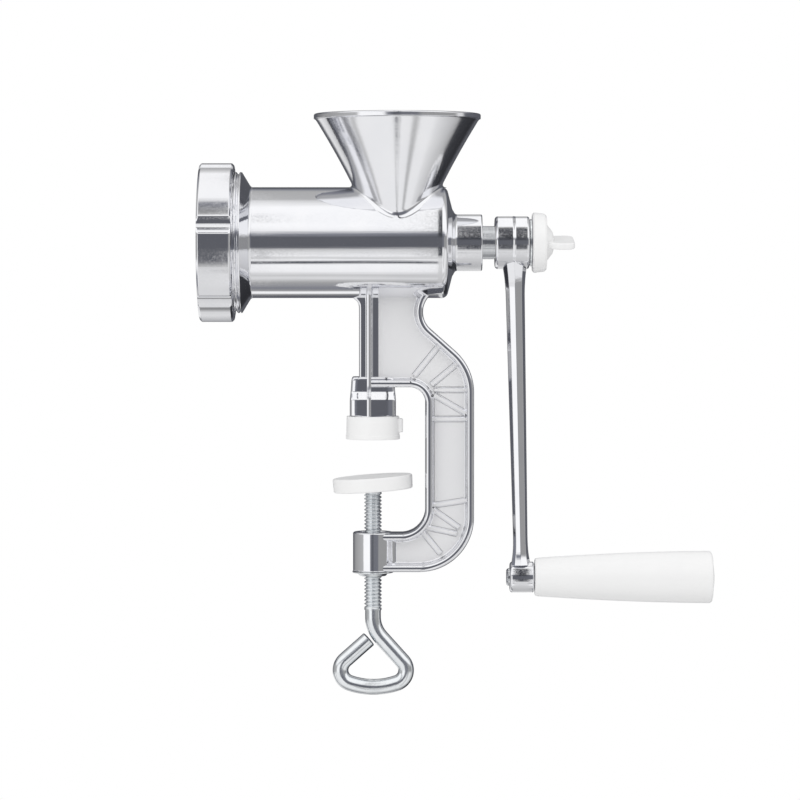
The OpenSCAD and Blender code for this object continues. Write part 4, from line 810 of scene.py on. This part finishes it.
for r, z in profile:
    loop = []
    for j in range(PAD_SIDES):
        a = 2 * math.pi * j / PAD_SIDES
        x, y, h = r * math.cos(a), r * math.sin(a), z - PIVOT_UP
        loop.append((x * math.cos(PAD_LEAN) - h * math.sin(PAD_LEAN), y,
                     PIVOT_Z + x * math.sin(PAD_LEAN) + h * math.cos(PAD_LEAN)))
    loops.append(loop)
points, faces = rings(loops, closed=True)
piece("pad_moulding", "pad", "white_plastic", plastic, points, faces, "lower_pad")

# The stage: a pale floor under the clamp, out of the camera's view. It takes the shadow, and
# the metal mirrors the studio's white boards below it as it does above.

# Painted board: a plain matt near white with slow patches of the roller
FLOOR_HALF, FLOOR_FRONT, FLOOR_BACK, FLOOR_Z, ROLLER_SIZE = 3, -1.2, 0.5, -0.3, 33.3
floor = bpy.data.objects.new("floor", bpy.data.meshes.new("floor"))
floor.data.from_pydata([(-FLOOR_HALF, FLOOR_FRONT, FLOOR_Z), (FLOOR_HALF, FLOOR_FRONT, FLOOR_Z),
                        (FLOOR_HALF, FLOOR_BACK, FLOOR_Z), (-FLOOR_HALF, FLOOR_BACK, FLOOR_Z)], [], [(0, 1, 2, 3)])
scene.collection.objects.link(floor)
pale, place = material("painted_board")
finish(pale, (noise(place, ROLLER_SIZE, 3.0), "#e9e9e9", "#e2e2e2"), 0.9)
floor.data.materials.append(pale)
floor.visible_glossy = False

# The studio: white all round for the camera and for the light. What the polished metal
# mirrors is the same white, broken by dark gaps between the boards: over the top and under
# the bottom they run from left to right, and round the sides they stand upright.
world = bpy.data.worlds.new("studio")
world.use_nodes = True
world.cycles.sampling_method = "NONE"
scene.world = world
tree = world.node_tree
tree.nodes.clear()
sky = node(tree, "ShaderNodeTexCoord")
apart = node(tree, "ShaderNodeSeparateXYZ", {"Vector": (sky, "Generated")})


def reckon(operation, *values):
    """A number of the world's tree, reckoned from others."""
    return node(tree, "ShaderNodeMath", dict(enumerate(values)), operation=operation)


def boards(turn, stops):
    """A ring of boards and gaps: each stop is an angle in degrees and the grey seen there."""
    share = fading(tree, (turn, "Value"), -math.pi, math.pi)
    made = node(tree, "ShaderNodeValToRGB", {"Fac": (share, "Result")})
    ramp = made.color_ramp
    while len(ramp.elements) > 1:
        ramp.elements.remove(ramp.elements[-1])
    for i, (angle, grey) in enumerate(stops):
        stop = ramp.elements[0] if i == 0 else ramp.elements.new((angle + 180) / 360)
        stop.position = (angle + 180) / 360
        tint = DARK_TINT if grey < DARK_BELOW else (1, 1, 1)
        stop.color = [grey * part for part in tint] + [1]
    return made


# Over the top: 0 is straight ahead of the object, 90 above it and -90 below it. The dark gaps
# are a little blue.
DARK_BELOW, DARK_TINT = 0.3, (0.94, 0.97, 1.1)
front = reckon("MULTIPLY", (apart, "Y"), -1.0)
over = reckon("ARCTAN2", (apart, "Z"), (front, "Value"))
over_boards = boards(over, [
    (-180, 0.13), (-150, 0.13), (-137, 0.3), (-131, 1.05), (-124, 1.0), (-119, 0.33), (-110, 0.25), (-92, 0.4),
    (-80, 0.8), (-73, 0.62), (-62, 1.0), (-47, 1.05), (-44, 0.12), (-40.5, 0.12), (-37, 1.1), (-33, 0.65),
    (-28, 0.98), (-20, 0.82), (-12, 0.58), (-8, 0.2), (1, 0.06), (10, 0.12), (18, 0.28), (25, 1.0),
    (33, 1.1), (78, 1.1), (95, 0.74), (103, 0.5), (133, 0.46), (143, 0.27), (155, 0.1), (180, 0.1)])
# The boards left and right of these stand at other heights: the ring nut mirrors the left
# ones, and the bearing boss and the crank's hub mirror the right ones
left_boards = boards(over, [
    (-180, 0.2), (-133, 0.8), (-122, 0.75), (-114, 0.3), (-106, 0.3), (-100, 0.75), (-73, 0.78), (-39, 0.78),
    (-34, 0.45), (-27, 0.13), (-5, 0.12), (14, 0.14), (18, 0.9), (38, 1.05), (44, 0.3), (58, 0.24), (64, 0.8),
    (68, 1.05), (118, 1.05), (130, 0.6), (150, 0.35), (180, 0.2)])
right_boards = boards(over, [
    (-180, 0.8), (-150, 0.75), (-120, 0.55), (-90, 0.6), (-60, 0.7), (-34, 0.8), (-30, 0.5), (-26, 0.1), (0, 0.06),
    (30, 0.06), (62, 0.09), (70, 0.3), (76, 1.1), (134, 1.1), (142, 0.5), (160, 0.5), (180, 0.3)])
left_zone = reckon("COMPARE", (apart, "X"), -0.0665, 0.0195)
right_zone = reckon("COMPARE", (apart, "X"), 0.0345, 0.0192)
middle_left = mixed(tree, (left_zone, "Value"), (over_boards, "Color"), (left_boards, "Color"))
over_all = mixed(tree, (right_zone, "Value"), (middle_left, 2), (right_boards, "Color"))
# Round the sides: 0 is straight ahead of the object and 90 to its right. Upright faces, such
# as the boss, the leg and the crank's arm, mirror these.
around = reckon("ARCTAN2", (apart, "X"), (front, "Value"))
side_boards = boards(around, [
    (-180, 0.1), (-150, 0.12), (-118, 0.35), (-58, 0.5), (-54, 1.1), (-18, 1.1), (-14, 0.24), (-7, 0.18),
    (-4.5, 0.13), (2, 0.13), (5, 0.19), (28, 0.2), (34, 0.34), (88, 0.34), (92, 0.8), (101, 0.8), (106, 0.14),
    (180, 0.1)])
low_boards = boards(around, [
    (-180, 0.95), (-150, 0.9), (-135, 0.7), (-122, 0.62), (-116, 0.5), (-111, 0.23), (-104, 0.23), (-99, 1.0),
    (-88, 1.04), (-81, 0.54), (-77, 0.54), (-71, 0.92), (0, 0.94), (24, 0.9), (29, 0.5), (34, 0.5), (41, 0.91),
    (64, 0.91), (72, 0.8), (101, 0.57), (111, 0.43), (117, 0.05), (150, 0.03), (172, 0.05), (180, 0.3)])
# The low ring is what a surface that faces down and sideways mirrors, such as the hopper's.
# It starts and ends softly in height, to both sides and towards the back.
flat = reckon("ABSOLUTE", (around, "Value"))
middle = reckon("ADD", (apart, "X"), 0.0105)
off = reckon("ABSOLUTE", (middle, "Value"))
aside = fading(tree, (off, "Value"), 0.075, 0.083)
down = fading(tree, (apart, "Z"), -0.17, -0.24)
sunk = fading(tree, (apart, "Z"), -0.85, -0.76)
fore = fading(tree, (flat, "Value"), math.radians(168), math.radians(160))
low_part = reckon("MULTIPLY", (aside, "Result"), (down, "Result"))
low_half = reckon("MULTIPLY", (low_part, "Value"), (fore, "Result"))
low_share = reckon("MULTIPLY", (low_half, "Value"), (sunk, "Result"))
height = reckon("ABSOLUTE", (apart, "Z"))
level = fading(tree, (height, "Value"), 0.14, 0.24)
upper = mixed(tree, (level, "Result"), (side_boards, "Color"), (over_all, 2))
mirrored = mixed(tree, (low_share, "Value"), (upper, 2), (low_boards, "Color"))
path_of = node(tree, "ShaderNodeLightPath")
seen = node(tree, "ShaderNodeBackground", {"Color": [1, 1, 1, 1], "Strength": 1.0})
mirror = node(tree, "ShaderNodeBackground", {"Color": (mirrored, 2), "Strength": 1.0})
lit = node(tree, "ShaderNodeBackground", {"Color": [1, 1, 1, 1], "Strength": 0.94})
unseen = node(tree, "ShaderNodeMixShader", {0: (path_of, "Is Glossy Ray"), 1: (lit, "Background"),
                                            2: (mirror, "Background")})
last = node(tree, "ShaderNodeMixShader", {0: (path_of, "Is Camera Ray"), 1: (unseen, "Shader"),
                                          2: (seen, "Background")})
node(tree, "ShaderNodeOutputWorld", {"Surface": (last, "Shader")})

# Three soft lamps shape the white pieces. They don't show in the metal, which has the bands.
for name, spot, aim, size, watts in (("key", (-0.9, -1.5, 1.4), (0.0, 0.0, 0.0), 1.2, 7.0),
                                     ("fill", (1.6, -1.1, 0.4), (0.05, 0.0, 0.0), 1.4, 1.0),
                                     ("back", (0.2, 1.4, 1.2), (0.0, 0.0, 0.05), 1.2, 3.0)):
    lamp = bpy.data.lights.new(name, "AREA")
    lamp.size, lamp.energy = size, watts
    holder = bpy.data.objects.new(name, lamp)
    holder.location = spot
    holder.rotation_euler = (Vector(aim) - Vector(spot)).to_track_quat("-Z", "Y").to_euler()
    holder.visible_glossy = False
    scene.collection.objects.link(holder)

scene.view_settings.view_transform = "Standard"
